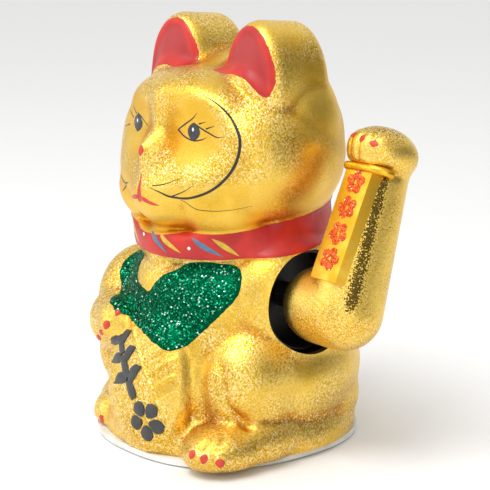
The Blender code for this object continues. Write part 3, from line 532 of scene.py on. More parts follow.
relief = {
    "eyes": ((24.2, 190.3), (-28.6, 189.3)),
    "socket": 19.0,
    "middleX": -2.0,
    "facePlane": -46.5,
    "faceCurve": 0.0036,
    "faceSoft": 4.0,
    "faceFront": -18.0,
    "faceRise": (150, 40),
    "faceFall": (230, 32),
    "bridgeProud": 4.5,
    "bridgeWidth": 7.5,
    "noseProud": 10.0,
    "noseTop": 194.0,
    "noseLength": 16.0,
    "earOutline": (
        (13, 222), (15, 232), (22, 243), (31, 248.5), (41, 247), (50, 239), (55.5, 228), (57, 218),
        (54, 210), (48, 214), (41, 219.5), (32, 221.5), (22, 221),
    ),
    "earDepth": 3.5,
    "earFront": -21.5,
    "earBack": 4.0,
    "collarTop": (139.5, 0.144),
    "collarBottom": (121.5, 0.10),
    "collarProud": 1.2,
    "collarDip": (-8.0, 24.0, 3.5),  # the band sags a little under the chin: middle, width, depth
    "heartOutline": (
        (-24, 112), (-38, 112), (-45.5, 106), (-45, 97), (-37, 87), (-24, 82), (-12, 77), (4, 73), (17, 68.5),
        (26, 66), (32, 69), (41, 81), (48.5, 92), (52, 102), (50, 110), (43, 114.5), (33, 116), (22, 114),
        (12, 108.5), (5, 105), (0, 99), (-3, 94), (-10, 95), (-18, 97.5), (-23, 102), (-25, 107),
    ),
    "heartProud": 0.5,
    "heartFront": -15.0,
    "tuftOutline": (
        (-22, 111), (-24, 104), (-18, 97.5), (-10, 95), (-4, 94.5), (2, 101), (8, 107), (12, 112), (-5, 116),
    ),
    "tuftProud": 2.6,
    "tuftFront": -30.0,
    "noseTip": (178.5, 2.2, 40.0),  # height, how proud, spread
    "lipGroove": (147.0, 168.0, 0.9, 1.6),  # from, to, depth, width
    "coinSkin": (-50, 92, 44),  # the finer skin: in front of, below, half width
}


def coinPlace():
    return Vector(coin["centre"]), Euler([math.radians(angle) for angle in coin["turn"]]).to_matrix()


def coinRelief(places):
    # a raised line round the long middle field, and bars from it out to the rim
    centre, turn = coinPlace()
    local = (places - np.array(centre)) @ np.array(turn)
    u, v = local[:, 0], local[:, 2]
    onFace = ease((-local[:, 1] - 2.0) / 5.0)
    ratio = np.sqrt((u / coin["across"]) ** 2 + (v / coin["tall"]) ** 2)
    lean = math.radians(coin["lean"])
    across = u * math.cos(lean) + v * math.sin(lean) - coin["middle"][0]
    along = v * math.cos(lean) - u * math.sin(lean) - coin["middle"][1]
    half = coin["columnHalf"] * np.sqrt(np.clip(1 - (along / coin["columnTall"]) ** 2, 0.05, 1))
    column = np.abs(across) - half
    inner = ease((0.95 - ratio) / 0.06)
    line = np.exp(-((column / coin["lineWidth"]) ** 2)) * coin["line"]
    wave = ((along - np.abs(across) * coin["hatchSlope"]) / coin["hatchStep"]) % 1.0
    bars = np.exp(-(((wave - 0.5) / 0.09) ** 2)) * coin["bar"]
    outer = ease((column - 0.5) / 1.0)
    return onFace * inner * (line + (bars - coin["barSunk"]) * outer)


def eyeBand(places, deeper=0.0):
    # presses the face back at eye height, so that the eyes lie beside a low nose bridge
    x, y, z = places.T
    middle = x - relief["middleX"]
    proud = relief["bridgeProud"] + relief["noseProud"] * ease((relief["noseTop"] - z) / relief["noseLength"])
    bridge = proud * np.exp(-((middle / relief["bridgeWidth"]) ** 2))
    target = relief["facePlane"] + relief["faceCurve"] * middle**2 - bridge + deeper
    rise, riseLength = relief["faceRise"]
    fall, fallLength = relief["faceFall"]
    window = ease((z - rise) / riseLength) * ease((fall - z) / fallLength)
    window *= ease((relief["faceFront"] - y) / 8.0)
    press = target - y
    move = np.zeros_like(places)
    move[:, 1] = 0.5 * (press + np.sqrt(press**2 + relief["faceSoft"] ** 2)) * window
    return move


def within(name, x, z, side=1):
    # distance inside one of the outlines above, seen from the front
    return insideDistance(x, z, closedPath([(side * a, b) for a, b in relief[name]], 5))


def workOver(mesh):
    places, out = points(mesh), normals(mesh)
    x, y, z = places.T
    front = ease((-y - 8.0) / 6.0)
    middle = x - relief["middleX"]
    move = eyeBand(places)
    for side in (1, -1):
        inside = within("earOutline", x, z, side)
        move[:, 1] += relief["earDepth"] * ease(inside / 7.0) * ease((6.0 - y) / 6.0) * (out[:, 1] < 0.3)
    height, proud, spread = relief["noseTip"]
    lift = proud * np.exp(-((middle**2 + (z - height) ** 2) / spread)) * front
    low, high, depth, width = relief["lipGroove"]
    lift -= depth * np.exp(-((middle / width) ** 2)) * ease((z - low) / 4) * ease((high - z) / 6) * front
    lift += relief["collarProud"] * ease((collarBand(places) + 1.0) / 1.4)
    lift += relief["heartProud"] * ease((within("heartOutline", x, z) + 0.3) / 1.2) * (y < relief["heartFront"])
    lift += relief["tuftProud"] * ease((within("tuftOutline", x, z) + 0.5) / 6.0) * (y < relief["tuftFront"])
    for spot, radius, proud in toes["lumps"]:
        apart = np.linalg.norm(places - np.array(spot), axis=1)
        lift += proud * ease(1.0 - apart / radius)
    for path, width, depth in toes["grooves"]:
        lift -= depth * np.exp(-((lineDistance(places, smoothPath(path, 4)) / width) ** 2))
    lift += coinRelief(places)
    setPoints(mesh, places + move + out * lift[:, None])


def collarBand(places):
    x, y, z = places.T
    top, topSlope = relief["collarTop"]
    bottom, bottomSlope = relief["collarBottom"]
    middle, width, dip = relief["collarDip"]
    upper = top + topSlope * y - dip * np.exp(-(((x - middle) / width) ** 2)) * (y < -30)
    return np.minimum(upper - z, z - bottom - bottomSlope * y)


toes = {
    "lumps": (
        ((59.5, -74, 14.5), 7.5, 1.6),
        ((67, -71.5, 13), 7.5, 1.6),
        ((73.5, -65, 11), 7.5, 1.4),
        ((-36.5, -67, 9), 7.0, 1.2),
        ((-44, -64, 9.5), 7.0, 1.2),
        ((-51, -60, 9.5), 7.0, 1.2),
        ((-20, -67.5, 79.5), 7.0, 1.4),
        ((-26, -71, 71.5), 7.0, 1.4),
        ((-35, -70, 63.5), 7.0, 1.4),
    ),
    "grooves": (
        (((63.5, -73, 12), (63, -68, 22), (61, -60, 28)), 1.3, 1.3),
        (((70.5, -68.5, 10), (69.5, -62, 20), (67, -55, 26)), 1.3, 1.3),
        (((56, -50, 62), (60, -51.5, 51), (62.5, -49, 37), (70, -42, 27)), 2.6, 2.4),
        (((-23, -70, 76), (-30, -62, 82), (-37, -55, 85)), 1.2, 1.1),
        (((-30, -72, 68), (-38, -63, 74), (-44, -56, 78)), 1.2, 1.1),
    ),
}


def makeCatBody():
    body = meltLumps(lumpMesh("catBody", catLumps(), extra=addCollar), catForm["voxel"], catForm["smoothing"])
    x, y, z = points(body.data).T
    front, top, half = relief["coinSkin"]
    refine(body, (y < front) & (z < top) & (np.abs(x) < half))
    workOver(body.data)
    cavity = lumpMesh("cavity", catLumps(), catForm["wall"])
    meltLumps(cavity, catForm["innerVoxel"], catForm["innerSmoothing"])
    inner = points(cavity.data)
    setPoints(cavity.data, inner + eyeBand(inner, catForm["wall"]))
    below = cutBox("below", (0, 0, catForm["bottom"] - 200), (400, 400, 400))
    low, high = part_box("socket_cup")
    middle = (low + high) / 2 / mm
    bore = cutRod("bore", (low.x / mm + 30.0, middle.y, middle.z), catForm["opening"], 60.0, 96)
    mesh = subtract(body, below, cavity, bore).data
    mesh.shade_smooth()
    mesh.set_sharp_from_angle(angle=math.radians(60))
    paintMasks(mesh)
    return body


farOut = -9.0  # a distance well outside every painted edge
smoothAt = (159, 128, 125, 235)  # heights where the smooth plating of the chin and the sides ends


def paintMasks(mesh):
    # signed distances in millimetres that the gold finish turns into clean paint edges
    places, out = points(mesh), normals(mesh)
    x, y, z = places.T
    ears = np.full(len(places), farOut)
    for side in (1, -1):
        inside = np.minimum(within("earOutline", x, z, side), y - relief["earFront"])
        ears = np.maximum(ears, np.where((y < relief["earBack"]) & (out[:, 1] < 0.2), inside, farOut))
    addAttribute(mesh, "earRed", ears)
    addAttribute(mesh, "collarRed", collarBand(places))
    addAttribute(mesh, "heartGreen", np.where(y < relief["heartFront"], within("heartOutline", x, z), farOut))
    sockets = np.zeros(len(places))
    for eyeX, eyeZ in relief["eyes"]:
        apart = np.hypot(x - eyeX, z - eyeZ) / relief["socket"]
        sockets = np.maximum(sockets, ease((1.15 - apart) / 0.35) * (y < -20))
    chinTop, collarLine, headFoot, headTop = smoothAt
    chin = ease((chinTop - z + 0.15 * np.abs(x)) / 6) * (z > collarLine) * ease((-y - 5) / 20)
    sideHead = ease((z - headFoot) / 5) * ease((y + 12) / 14) * ease((headTop - z) / 10)
    # painted shade: the hollows of the casting get a darker colour, as where shade falls
    addAttribute(mesh, "creased", ease((hollows(mesh) - 0.03) / 0.22) * (z > 7))
    addAttribute(mesh, "satin", np.clip(np.maximum.reduce([sockets, chin, 0.75 * sideHead]), 0, 1))


goldLook = {
    "pale": (0.86, 0.57, 0.09),
    "deep": (0.76, 0.45, 0.04),
    # painted shade colour for the hollows
    "creaseShadeColour": (0.62, 0.27, 0.012),
    # painted glint colour, and below it the painted shade colour, for the sandy grains
    "glintColour": (1.0, 0.90, 0.55),
    "shade": (0.34, 0.21, 0.010),
    "red": (0.42, 0.010, 0.010),
    "brightRed": (0.56, 0.018, 0.008),
    "innerEar": (0.37, 0.018, 0.018),
    "heart": (0.0, 0.075, 0.030),
    "grain": 1.2,
    "grainDepth": 0.42,
}


def paintGlintsAndShade(paint, grain, colour, much):
    # painted glints and painted shade: bright and dark grains over a colour
    colour = paint.mix(grain.step(0.53, 0.60) * much, colour, goldLook["glintColour"])
    return paint.mix((1.0 - grain.step(0.38, 0.46)) * much, colour, goldLook["shade"])


def makeGold():
    look = goldLook
    paint = Paint("catGold", look["pale"], 0.34, 1.0)
    satin = paint.attribute("satin")
    broad = paint.noise(28.0, 3.0)
    grain = paint.noise(look["grain"], 2.0, 0.75)
    # where the sand grain shows, both as bump and as painted glints and shade
    sandAndGlints = (paint.noise(34.0, 2.0).step(0.34, 0.60) * 0.75 + 0.25) * (1.0 - 0.85 * satin)
    colour = paint.mix(broad.step(0.35, 0.68), look["pale"], look["deep"])
    # painted shade in the hollows
    colour = paint.mix(paint.attribute("creased").clamp(), colour, look["creaseShadeColour"])
    colour = paintGlintsAndShade(paint, grain, colour, sandAndGlints * 0.75)
    edge = paint.noise(3.0, 3.0) * 1.2 - 0.6
    ears = (paint.attribute("earRed") + edge).step(-0.15, 0.15)
    collar = (paint.attribute("collarRed") + edge * 0.5).step(-0.15, 0.15)
    heart = (paint.attribute("heartGreen") + edge).step(-0.1, 0.1)
    red = paint.mix(paint.noise(14.0, 2.0).step(0.35, 0.7), look["red"], look["brightRed"])
    inner = paint.mix(paint.attribute("earRed").step(2.0, 8.0), red, look["innerEar"])
    colour = paint.mix(collar, paint.mix(ears, colour, inner), red)
    cover = (ears + collar + heart).clamp()
    paint.set("Base Color", paint.mix(heart, colour, look["heart"]))
    paint.set("Roughness", 0.30 + 0.08 * grain.step(0.3, 0.7) + 0.08 * satin + cover * 0.06)
    paint.set("Metallic", 1.0 - (ears + collar).clamp())
    paint.bump(grain * (0.25 + 0.75 * sandAndGlints) * (1.0 - 0.85 * cover), look["grainDepth"])
    return paint.material


catBody = makeCatBody()
catBody.data.materials.clear()
catBody.data.materials.append(makeGold())
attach(catBody, "figure")
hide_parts("body_shell")
print("body done", len(catBody.data.polygons))


# the raised arm: domed stub, elbow, tapered forearm and paw
arm = {
    "shoulder": (66.0, 5.5, 92.0),
    "forearmX": 97.5,
    "stubRadius": 22.4,
    "stubLength": 19.0,
    "wristRadius": 16.5,
    "taperLength": 79.0,
    "forearm": 91.0,
    "lean": 19.5,
    "paw": (20.5, 21.0, 15.5),
    "pawBack": -2.5,
    "wall": 2.0,
    "voxel": 1.15,
    "smoothing": 30,
    "creaseAt": 80.5,
    "creaseDeep": 1.8,
    "mouth": 9.3,
}
elbow = Vector((arm["forearmX"], arm["shoulder"][1], arm["shoulder"][2]))
armTurn = Matrix.Rotation(math.radians(-arm["lean"]), 3, "X")


def armLumps():
    lumps = []
    stub, taper = arm["stubRadius"], arm["wristRadius"] - arm["stubRadius"]
    for step in range(13):
        back = arm["stubLength"] * step / 12
        lumps.append(((elbow.x - back, elbow.y, elbow.z), (stub,) * 3))
    for step in range(19):
        along = arm["forearm"] * step / 19
        radius = stub + taper * min(along / arm["taperLength"], 1.0)
        lumps.append((tuple(elbow + armTurn @ Vector((0, 0, along))), (radius,) * 3))
    paw = elbow + armTurn @ Vector((0, arm["pawBack"], arm["forearm"]))
    lumps.append((tuple(paw), arm["paw"], (-arm["lean"], 0, 0)))
    return lumps


armToes = {
    "grooves": ((-7.0, 0.9), (0.5, 1.0), (8.0, 0.9)),
    "grooveWidth": 1.2,
    "grooveFrom": 82.0,
    "grooveTo": 104.0,
    "knuckleAt": 97.0,
    "knuckles": ((-10.5, 1.0), (-3.3, 1.2), (4.3, 1.2), (11.5, 1.0)),
    "claws": ((-8.0, 98.0), (1.5, 95.5), (9.5, 94.5)),
}


def alongArm(places):
    # across, back and up the forearm, measured from the elbow
    return ((places - np.array(elbow)) @ np.array(armTurn)).T


def workOverArm(mesh):
    places, out = points(mesh), normals(mesh)
    x, y, z = alongArm(places)
    lift = np.zeros(len(places))
    fore = ease((-y - 4) / 6)
    onToes = fore * ease((z - armToes["grooveFrom"]) / 5) * ease((armToes["grooveTo"] - z) / 6)
    for across, depth in armToes["grooves"]:
        lift -= depth * np.exp(-(((x - across) / armToes["grooveWidth"]) ** 2)) * onToes
    for across, proud in armToes["knuckles"]:
        apart = ((x - across) / 4.0) ** 2 + ((z - armToes["knuckleAt"]) / 6.5) ** 2
        lift += proud * np.exp(-apart) * fore
    around = np.exp(-(((z - arm["creaseAt"]) / 2.2) ** 2)) * ease((6 - y) / 16)
    lift -= arm["creaseDeep"] * around
    setPoints(mesh, places + out * lift[:, None])
    # the elbow crease is also stored as painted shade
    addAttribute(mesh, "creased", np.clip(around * 0.9, 0, 1))


def makeArm():
    shell = meltLumps(lumpMesh("armShell", armLumps()), arm["voxel"], arm["smoothing"])
    cavity = meltLumps(lumpMesh("armCavity", armLumps(), arm["wall"] + 1.0), 3.0, 4)
    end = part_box("arm_shell")[0].x / mm
    workOverArm(shell.data)
    past = cutBox("armEnd", (end - 20.0, elbow.y, elbow.z), (40, 90, 90))
    mouth = cutRod("armMouth", (end, elbow.y, elbow.z), arm["mouth"], 20.0, 48)
    subtract(shell, past, cavity, mouth)
    shell.data.shade_smooth()
    shell.data.set_sharp_from_angle(angle=math.radians(60))
    return shell


armLook = {
    "pale": (0.90, 0.61, 0.11),
    "deep": (0.82, 0.49, 0.045),
    # painted shade colour for the elbow crease
    "creaseShadeColour": (0.56, 0.25, 0.01),
    # painted dark reflection and shade colour
    "reflectedDark": (0.035, 0.022, 0.004),
    "grain": 1.0,
    "speck": 0.9,
    "grainDepth": 0.26,
}
# where the painted dark reflection and shade lie on the arm
darkBand = {"angle": 38.0, "width": 13.0, "to": 86.0, "socketX": 66.5, "crownAt": 104.0}


def makeArmGold():
    # a smoother lit side, and painted dark reflection and shade: a band of dark speckle that runs down beside
    # the tablet
    look = armLook
    paint = Paint("armGold", look["pale"], 0.3, 1.0)
    grain = paint.noise(look["grain"], 2.0, 0.75)
    broad = paint.noise(24.0, 2.0)
    band = paint.attribute("darkBand")
    colour = paint.mix(broad.step(0.35, 0.68), look["pale"], look["deep"])
    # painted shade in the elbow crease
    colour = paint.mix(paint.attribute("creased").clamp(), colour, look["creaseShadeColour"])
    # painted glints and painted shade on the arm's grains
    colour = paintGlintsAndShade(paint, grain, colour, (broad.step(0.34, 0.60) * 0.55 + 0.35) * 0.65)
    speck = paint.noise(look["speck"], 1.0, 0.6)
    # painted dark reflection and shade as dark specks
    reflectedDark = (speck + band * 0.42).step(0.72, 0.80) * band.step(0.02, 0.3)
    paint.set("Base Color", paint.mix(reflectedDark * 0.92, colour, look["reflectedDark"]))
    paint.set("Roughness", 0.27 + 0.12 * grain.step(0.3, 0.7))
    paint.bump(grain, look["grainDepth"])
    return paint.material


def markShadeReflection(mesh):
    # painted dark reflection and shade: a band down the forearm, a ring where the arm meets the socket, a patch
    # on top of the paw
    places = points(mesh)
    x, y, z = alongArm(places)
    angle = np.degrees(np.arctan2(-y, x))  # 90 is the front of the forearm, 0 its outer side
    band = np.exp(-(((angle - darkBand["angle"]) / darkBand["width"]) ** 2))
    band *= ease((z + 6) / 14) * ease((darkBand["to"] - z) / 8)
    ring = np.exp(-(((places[:, 0] - darkBand["socketX"]) / 3.2) ** 2)) * 0.75
    crown = np.exp(-(((z - darkBand["crownAt"]) / 6) ** 2)) * ease((-y + 6) / 12) * 0.55
    addAttribute(mesh, "darkBand", np.clip(band + ring + crown, 0, 1))


armShell = makeArm()
markShadeReflection(armShell.data)
armShell.data.materials.clear()
armShell.data.materials.append(makeArmGold())
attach(armShell, "arm")
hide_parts("arm_shell")
print("arm done", len(armShell.data.polygons))


# the tablet on the forearm, with its scroll bar
tablet = {
    "lean": 24.77,
    "front": -24.4,
    "back": -13.6,
    "faceHalf": 10.25,
    "sideHalf": 14.0,
    "start": 12.0,
    "end": 80.0,
    # how far in and how high: the border, the drop to the panel, then a thin raised line on it
    "insets": ((1.4, 0.0), (0.3, -0.8), (0.8, 0.0), (0.25, 0.35), (0.45, 0.0), (0.25, -0.35)),
}
bar = {
    "path": (
        (-12.0, -23.6, 78.2), (-6, -24.2, 78.4), (3, -24.3, 78.6),
        (10.5, -23.4, 78.8), (15.5, -19.6, 78.9), (17.5, -14.5, 78.7),
    ),
    "radius": 2.5,
    "sides": 20,
    "rounded": 0.045,
    "endRadius": 0.25,
}
tabletTurn = Matrix.Rotation(math.radians(-tablet["lean"]), 3, "X")


def tabletSpot(x, y, z):
    return elbow + tabletTurn @ Vector((x, y, z))


def makeTablet():
    grid = bmesh.new()
    centre = (0.0, (tablet["front"] + tablet["back"]) / 2, (tablet["start"] + tablet["end"]) / 2)
    size = (2 * tablet["sideHalf"], tablet["back"] - tablet["front"], tablet["end"] - tablet["start"])
    bmesh.ops.create_cube(grid, size=1.0, matrix=Matrix.Translation(centre) @ Matrix.Diagonal((*size, 1.0)))
    for corner in grid.verts:
        if corner.co.y < centre[1]:
            corner.co.x *= tablet["faceHalf"] / tablet["sideHalf"]
    bmesh.ops.recalc_face_normals(grid, faces=grid.faces)
    edges = [edge for edge in grid.edges if any(v.co.y < centre[1] for v in edge.verts)]
    bmesh.ops.bevel(grid, geom=edges, offset=0.7, segments=2, affect="EDGES", profile=0.6)
    grid.normal_update()
    face = min(grid.faces, key=lambda f: f.calc_center_median().y - f.calc_area())
    for across, rise in tablet["insets"]:
        bmesh.ops.inset_region(grid, faces=[face], thickness=across, depth=rise)
    for corner in grid.verts:
        corner.co = tabletSpot(*corner.co)
    made = finishGrid("tablet", grid)
    made.data.set_sharp_from_angle(angle=math.radians(25))
    return made


def makeBar():
    # a round bar over the top of the tablet, whose outer end turns back round the wrist
    route = smoothPath(bar["path"], 6)
    grid = bmesh.new()
    rings = []
    last, sides = len(route) - 1, bar["sides"]
    for index, spot in enumerate(route):
        ahead = Vector(route[min(index + 1, last)] - route[max(index - 1, 0)]).normalized()
        side = ahead.cross(Vector((0, 0, 1))).normalized()
        up = side.cross(ahead)
        fromEnd = min(index, last - index) / last / bar["rounded"]
        closing = math.sqrt(1 - (1 - min(fromEnd, 1.0)) ** 2)
        radius = bar["radius"] * max(closing, bar["endRadius"])
        ring = []
        for step in range(sides):
            angle = 2 * math.pi * step / sides
            place = Vector(spot) + radius * (math.cos(angle) * side + math.sin(angle) * up)
            ring.append(grid.verts.new(tabletSpot(*place)))
        rings.append(ring)
    joinRings(grid, rings)
    return finishGrid("scrollBar", grid)


def makeTabletGold(name, pale, deep, smooth):
    paint = Paint(name, pale, 0.3, 1.0)
    broad = paint.noise(9.0, 3.0)
    fine = paint.noise(0.5, 2.0)
    paint.set("Base Color", paint.mix(broad.step(0.3, 0.7), pale, deep))
    paint.set("Roughness", smooth + 0.12 * broad.step(0.3, 0.7))
    paint.bump(fine + broad * 0.6, 0.06)
    return paint.material


tabletPiece = makeTablet()
tabletPiece.data.materials.append(makeTabletGold("tabletGold", (0.86, 0.55, 0.07), (0.78, 0.43, 0.03), 0.30))
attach(tabletPiece, "arm")
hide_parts("arm_plaque")
barPiece = makeBar()
barPiece.data.materials.append(makeTabletGold("barGold", (0.88, 0.55, 0.06), (0.74, 0.38, 0.02), 0.24))
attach(barPiece, "arm")
print("tablet done")


# painted lines: low rounded ridges of paint that lie on the surface
def surfaceTree(made):
    mesh = made.data
    corners = [tuple(place) for place in points(mesh)]
    return BVHTree.FromPolygons(corners, [tuple(face.vertices) for face in mesh.polygons])


sectionTop = ((-1.0, -0.3), (-0.93, 0.55), (-0.5, 1.0), (0.0, 1.1), (0.5, 1.0), (0.93, 0.55), (1.0, -0.3))
sectionBottom = (0.5, 0.0, -0.5)
sectionDepth = -0.3
thinStroke = 0.25  # a half width below this makes the ridge lower too


def strokeRings(grid, tree, path, widths, height, steps):
    # half widths are spread evenly along the path; the section closes below the surface
    route = smoothPath(path, steps)
    last = len(route) - 1
    spread = np.interp(np.linspace(0, len(widths) - 1, last + 1), np.arange(len(widths)), widths)
    rings = []
    for index, (spot, half) in enumerate(zip(route, spread)):
        ahead = Vector(route[min(index + 1, last)] - route[max(index - 1, 0)]).normalized()
        middle, out, _, _ = tree.find_nearest(Vector(spot))
        side = ahead.cross(out).normalized()
        thin = min(1.0, half / thinStroke)
        section = []
        for across, up in sectionTop:
            section.append((across, up * height, thin) if up > 0 else (across, sectionDepth, 1.0))
        section += [(across, sectionDepth - 0.1, 1.0) for across in sectionBottom]
        ring = []
        for across, rise, share in section:
            place, normal, _, _ = tree.find_nearest(middle + side * half * across)
            ring.append(grid.verts.new(place + normal * rise * share))
        rings.append(ring)
    return rings


def strokePiece(name, tree, strokes, height, material, body, steps=6):
    grid = bmesh.new()
    for path, widths in strokes:
        joinRings(grid, strokeRings(grid, tree, path, widths, height, steps))
    made = finishGrid(name, grid)
    made.data.set_sharp_from_angle(angle=math.radians(50))
    made.data.materials.append(material)
    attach(made, body)
    return made


def makePaint(name, colour, other, roughness, ripple=1.2, depth=0.05):
    paint = Paint(name, colour, roughness)
    cloud = paint.noise(ripple * 4, 2.0)
    paint.set("Base Color", paint.mix(cloud.step(0.35, 0.7), colour, other))
    paint.set("Roughness", roughness + 0.12 * (paint.noise(ripple, 2.0) - 0.5))
    paint.bump(paint.noise(ripple, 3.0), depth)
    return paint.material


blackPaint = makePaint("blackPaint", (0.012, 0.012, 0.014), (0.022, 0.021, 0.022), 0.34, 1.5)
reliefBlack = makePaint("reliefBlack", (0.030, 0.031, 0.034), (0.045, 0.046, 0.048), 0.36, 2.0, 0.12)
irisPaint = makePaint("irisPaint", (0.035, 0.040, 0.045), (0.020, 0.022, 0.026), 0.25, 1.5)
whitePaint = makePaint("whitePaint", (0.85, 0.85, 0.82), (0.75, 0.74, 0.70), 0.4)
redPaint = makePaint("redPaint", (0.62, 0.045, 0.025), (0.50, 0.025, 0.018), 0.36, 1.4)
bluePaint = makePaint("bluePaint", (0.06, 0.15, 0.26), (0.10, 0.20, 0.30), 0.42)
yellowPaint = makePaint("yellowPaint", (0.66, 0.44, 0.03), (0.52, 0.34, 0.03), 0.42)
skin = surfaceTree(catBody)

cheekArc = (
    (28.8, -41, 211.5), (36.9, -38, 207.6), (44, -35, 202), (49, -34, 196), (53.2, -34, 188.3),
    (53.5, -35.6, 179), (51.5, -39, 170.6), (46.6, -43.7, 163), (39.4, -48.6, 157.5), (28.5, -53, 153.8),
    (19, -57, 154), (13.4, -60, 156), (6.5, -61.7, 157.7),
)
faceLines = (
    (cheekArc, (0.2, 0.4, 0.65, 0.85, 0.95, 0.95, 0.9, 0.8, 0.75, 0.65, 0.45, 0.15)),
    (((7.4, -61, 159), (15, -57.5, 160.7), (24.7, -53.5, 165)), (0.35, 0.3, 0.08)),
    (((20, -56.5, 154.2), (26.6, -54.3, 157.2), (33, -51.5, 161.5)), (0.45, 0.3, 0.08)),
    (
        ((25, -54, 152.5), (33.8, -51, 148.7), (43.3, -47, 148.2), (51.6, -39, 149), (57, -27.7, 150.7)),
        (0.15, 0.22, 0.22, 0.15, 0.06),
    ),
    (((-40, -48, 157), (-31, -52.5, 154), (-24, -56, 155.5)), (0.2, 0.6, 0.3)),
    (((-36, -50, 148), (-31, -52, 151.5), (-28, -54, 155)), (0.2, 0.5, 0.2)),
)
strokePiece("faceLines", skin, faceLines, 0.16, blackPaint, "figure")
print("lines done")

eyeLines = (
    (
        ((12.5, -45.6, 190.6), (16.8, -45, 193.5), (22.9, -44, 197.5), (26.7, -43, 201.3)),
        (0.4, 0.5, 0.4, 0.08),
    ),
    (((27.9, -43, 195.2), (32.7, -41.6, 196.7)), (0.55, 0.1)),
    (((32.8, -41.7, 192.8), (38.5, -40, 195)), (0.55, 0.1)),
    (
        (
            (24.5, -44, 195.2), (29.3, -42.5, 192.8), (35.8, -41, 190.2), (40, -39.7, 188.7),
            (44.3, -38, 189.3),
        ),
        (0.45, 0.5, 0.45, 0.35, 0.08),
    ),
    (
        (
            (12.2, -45.6, 190.6), (17, -45, 187.2), (24, -44.2, 185.4), (29.7, -42.8, 186.3),
            (33.6, -41.6, 188),
        ),
        (0.6, 0.5, 0.5, 0.4, 0.08),
    ),
    (((-43, -40, 195.5), (-35.6, -42, 191.6)), (0.1, 0.5)),
    (((-50, -37, 184), (-40.8, -41, 186.8)), (0.1, 0.45)),
    (((-36, -41, 198.5), (-31, -43, 194.4)), (0.1, 0.45)),
    (((-29, -43, 195.2), (-24.3, -44.3, 193.2), (-16.3, -45.7, 189)), (0.35, 0.45, 0.15)),
)
strokePiece("eyeLines", skin, eyeLines, 0.14, blackPaint, "figure")

# half widths of a round spot, from one end of its path to the other
roundWidths = (0.12, 0.6, 0.87, 1.0, 1.0, 0.87, 0.6, 0.12)


def spotStroke(centre, along, across, direction=(0, 0, 1)):
    middle, way = Vector(centre), Vector(direction).normalized()
    ends = [tuple(middle + way * along * t) for t in (-1.0, -0.33, 0.33, 1.0)]
    return (ends, tuple(across * width for width in roundWidths))


eyeSpots = [(x, y, z) for (x, z), y in zip(relief["eyes"], (-43.7, -43.5))]
irises = [spotStroke(spot, 5.2, half) for spot, half in zip(eyeSpots, (4.7, 5.8))]
strokePiece("irises", skin, irises, 0.35, irisPaint, "figure", 8)
sparks = [spotStroke((x - 0.3, y, z + 1.3), 1.2, 0.9) for x, y, z in eyeSpots]
strokePiece("eyeSparks", skin, sparks, 0.55, whitePaint, "figure")

redMarks = [
    spotStroke((-2, -63, 178.6), 3.7, 3.4, (1, 0, 0.1)),
    (
        ((-2.5, -62.5, 165), (-2.5, -63, 158), (-2.5, -62.8, 151.5), (-2.5, -62.5, 148.5)),
        (0.25, 0.7, 1.7, 2.2, 1.2),
    ),
    (((-2.2, -62.5, 151.5), (3, -62, 150.5), (8, -61, 149), (12.5, -60, 148.2)), (1.3, 1.5, 1.1, 0.15)),
    (((-3, -62.5, 151.5), (-8, -62, 150.5), (-13, -61, 149), (-17, -60, 148.2)), (1.3, 1.5, 1.1, 0.15)),
]
strokePiece("noseAndMouth", skin, redMarks, 0.22, redPaint, "figure")

clawSpots = (
    ((61, -75.5, 16), 3.1, 2.3, (0.1, 0.3, 1)),
    ((68.2, -72.7, 14.4), 3.1, 2.4, (0.1, 0.3, 1)),
    ((74.4, -66.2, 11.9), 2.7, 3.1, (0, 0.3, 1)),
    ((-37, -66.5, 9.5), 3.1, 2.2, (0, 0.3, 1)),
    ((-44.5, -63, 9.5), 3.1, 2.2, (0, 0.3, 1)),
    ((-51.5, -58, 9.5), 2.9, 2.2, (0, 0.3, 1)),
    ((-19, -67.5, 80), 2.6, 2.2, (0.5, 0, 1)),
    ((-23.5, -72.5, 72.5), 3.0, 2.5, (0.4, 0, 1)),
    ((-33, -71, 64.5), 2.8, 2.3, (0.4, 0, 1)),
    ((-43, -65, 58.5), 2.6, 2.2, (0.4, 0, 1)),
)
strokePiece("claws", skin, [spotStroke(*claw) for claw in clawSpots], 0.5, redPaint, "figure")

leaf = (0.1, 1.1, 1.7, 1.6, 1.0, 0.1)
blueLeaves = [
    (((-4.5, -52.5, 129.3), (2, -53.5, 125.5), (10, -53, 119)), leaf),
    (((26.5, -47.5, 130), (33, -44, 125.5), (41.5, -37, 120)), leaf),
    (((-44, -38, 129.5), (-38, -42, 125), (-30, -47, 119)), leaf),
]
yellowLeaves = [
    (((4, -53, 129.7), (11, -53, 125.5), (20, -50.5, 120.4)), leaf),
    (((38, -42, 130.5), (43, -37, 126), (47.7, -30, 120.5)), leaf),
    (((-33, -44, 129.5), (-27, -48.5, 125), (-19, -51, 119)), leaf),
]
strokePiece("blueLeaves", skin, blueLeaves, 0.14, bluePaint, "figure")
strokePiece("yellowLeaves", skin, yellowLeaves, 0.14, yellowPaint, "figure")
dotSpots = ((-10.7, -53.8, 126.7), (25.5, -48.8, 123.7), (-33, -45.5, 123.5))
dots = [spotStroke(spot, 1.1, 1.1) for spot in dotSpots]
strokePiece("collarDots", skin, dots, 0.3, whitePaint, "figure")

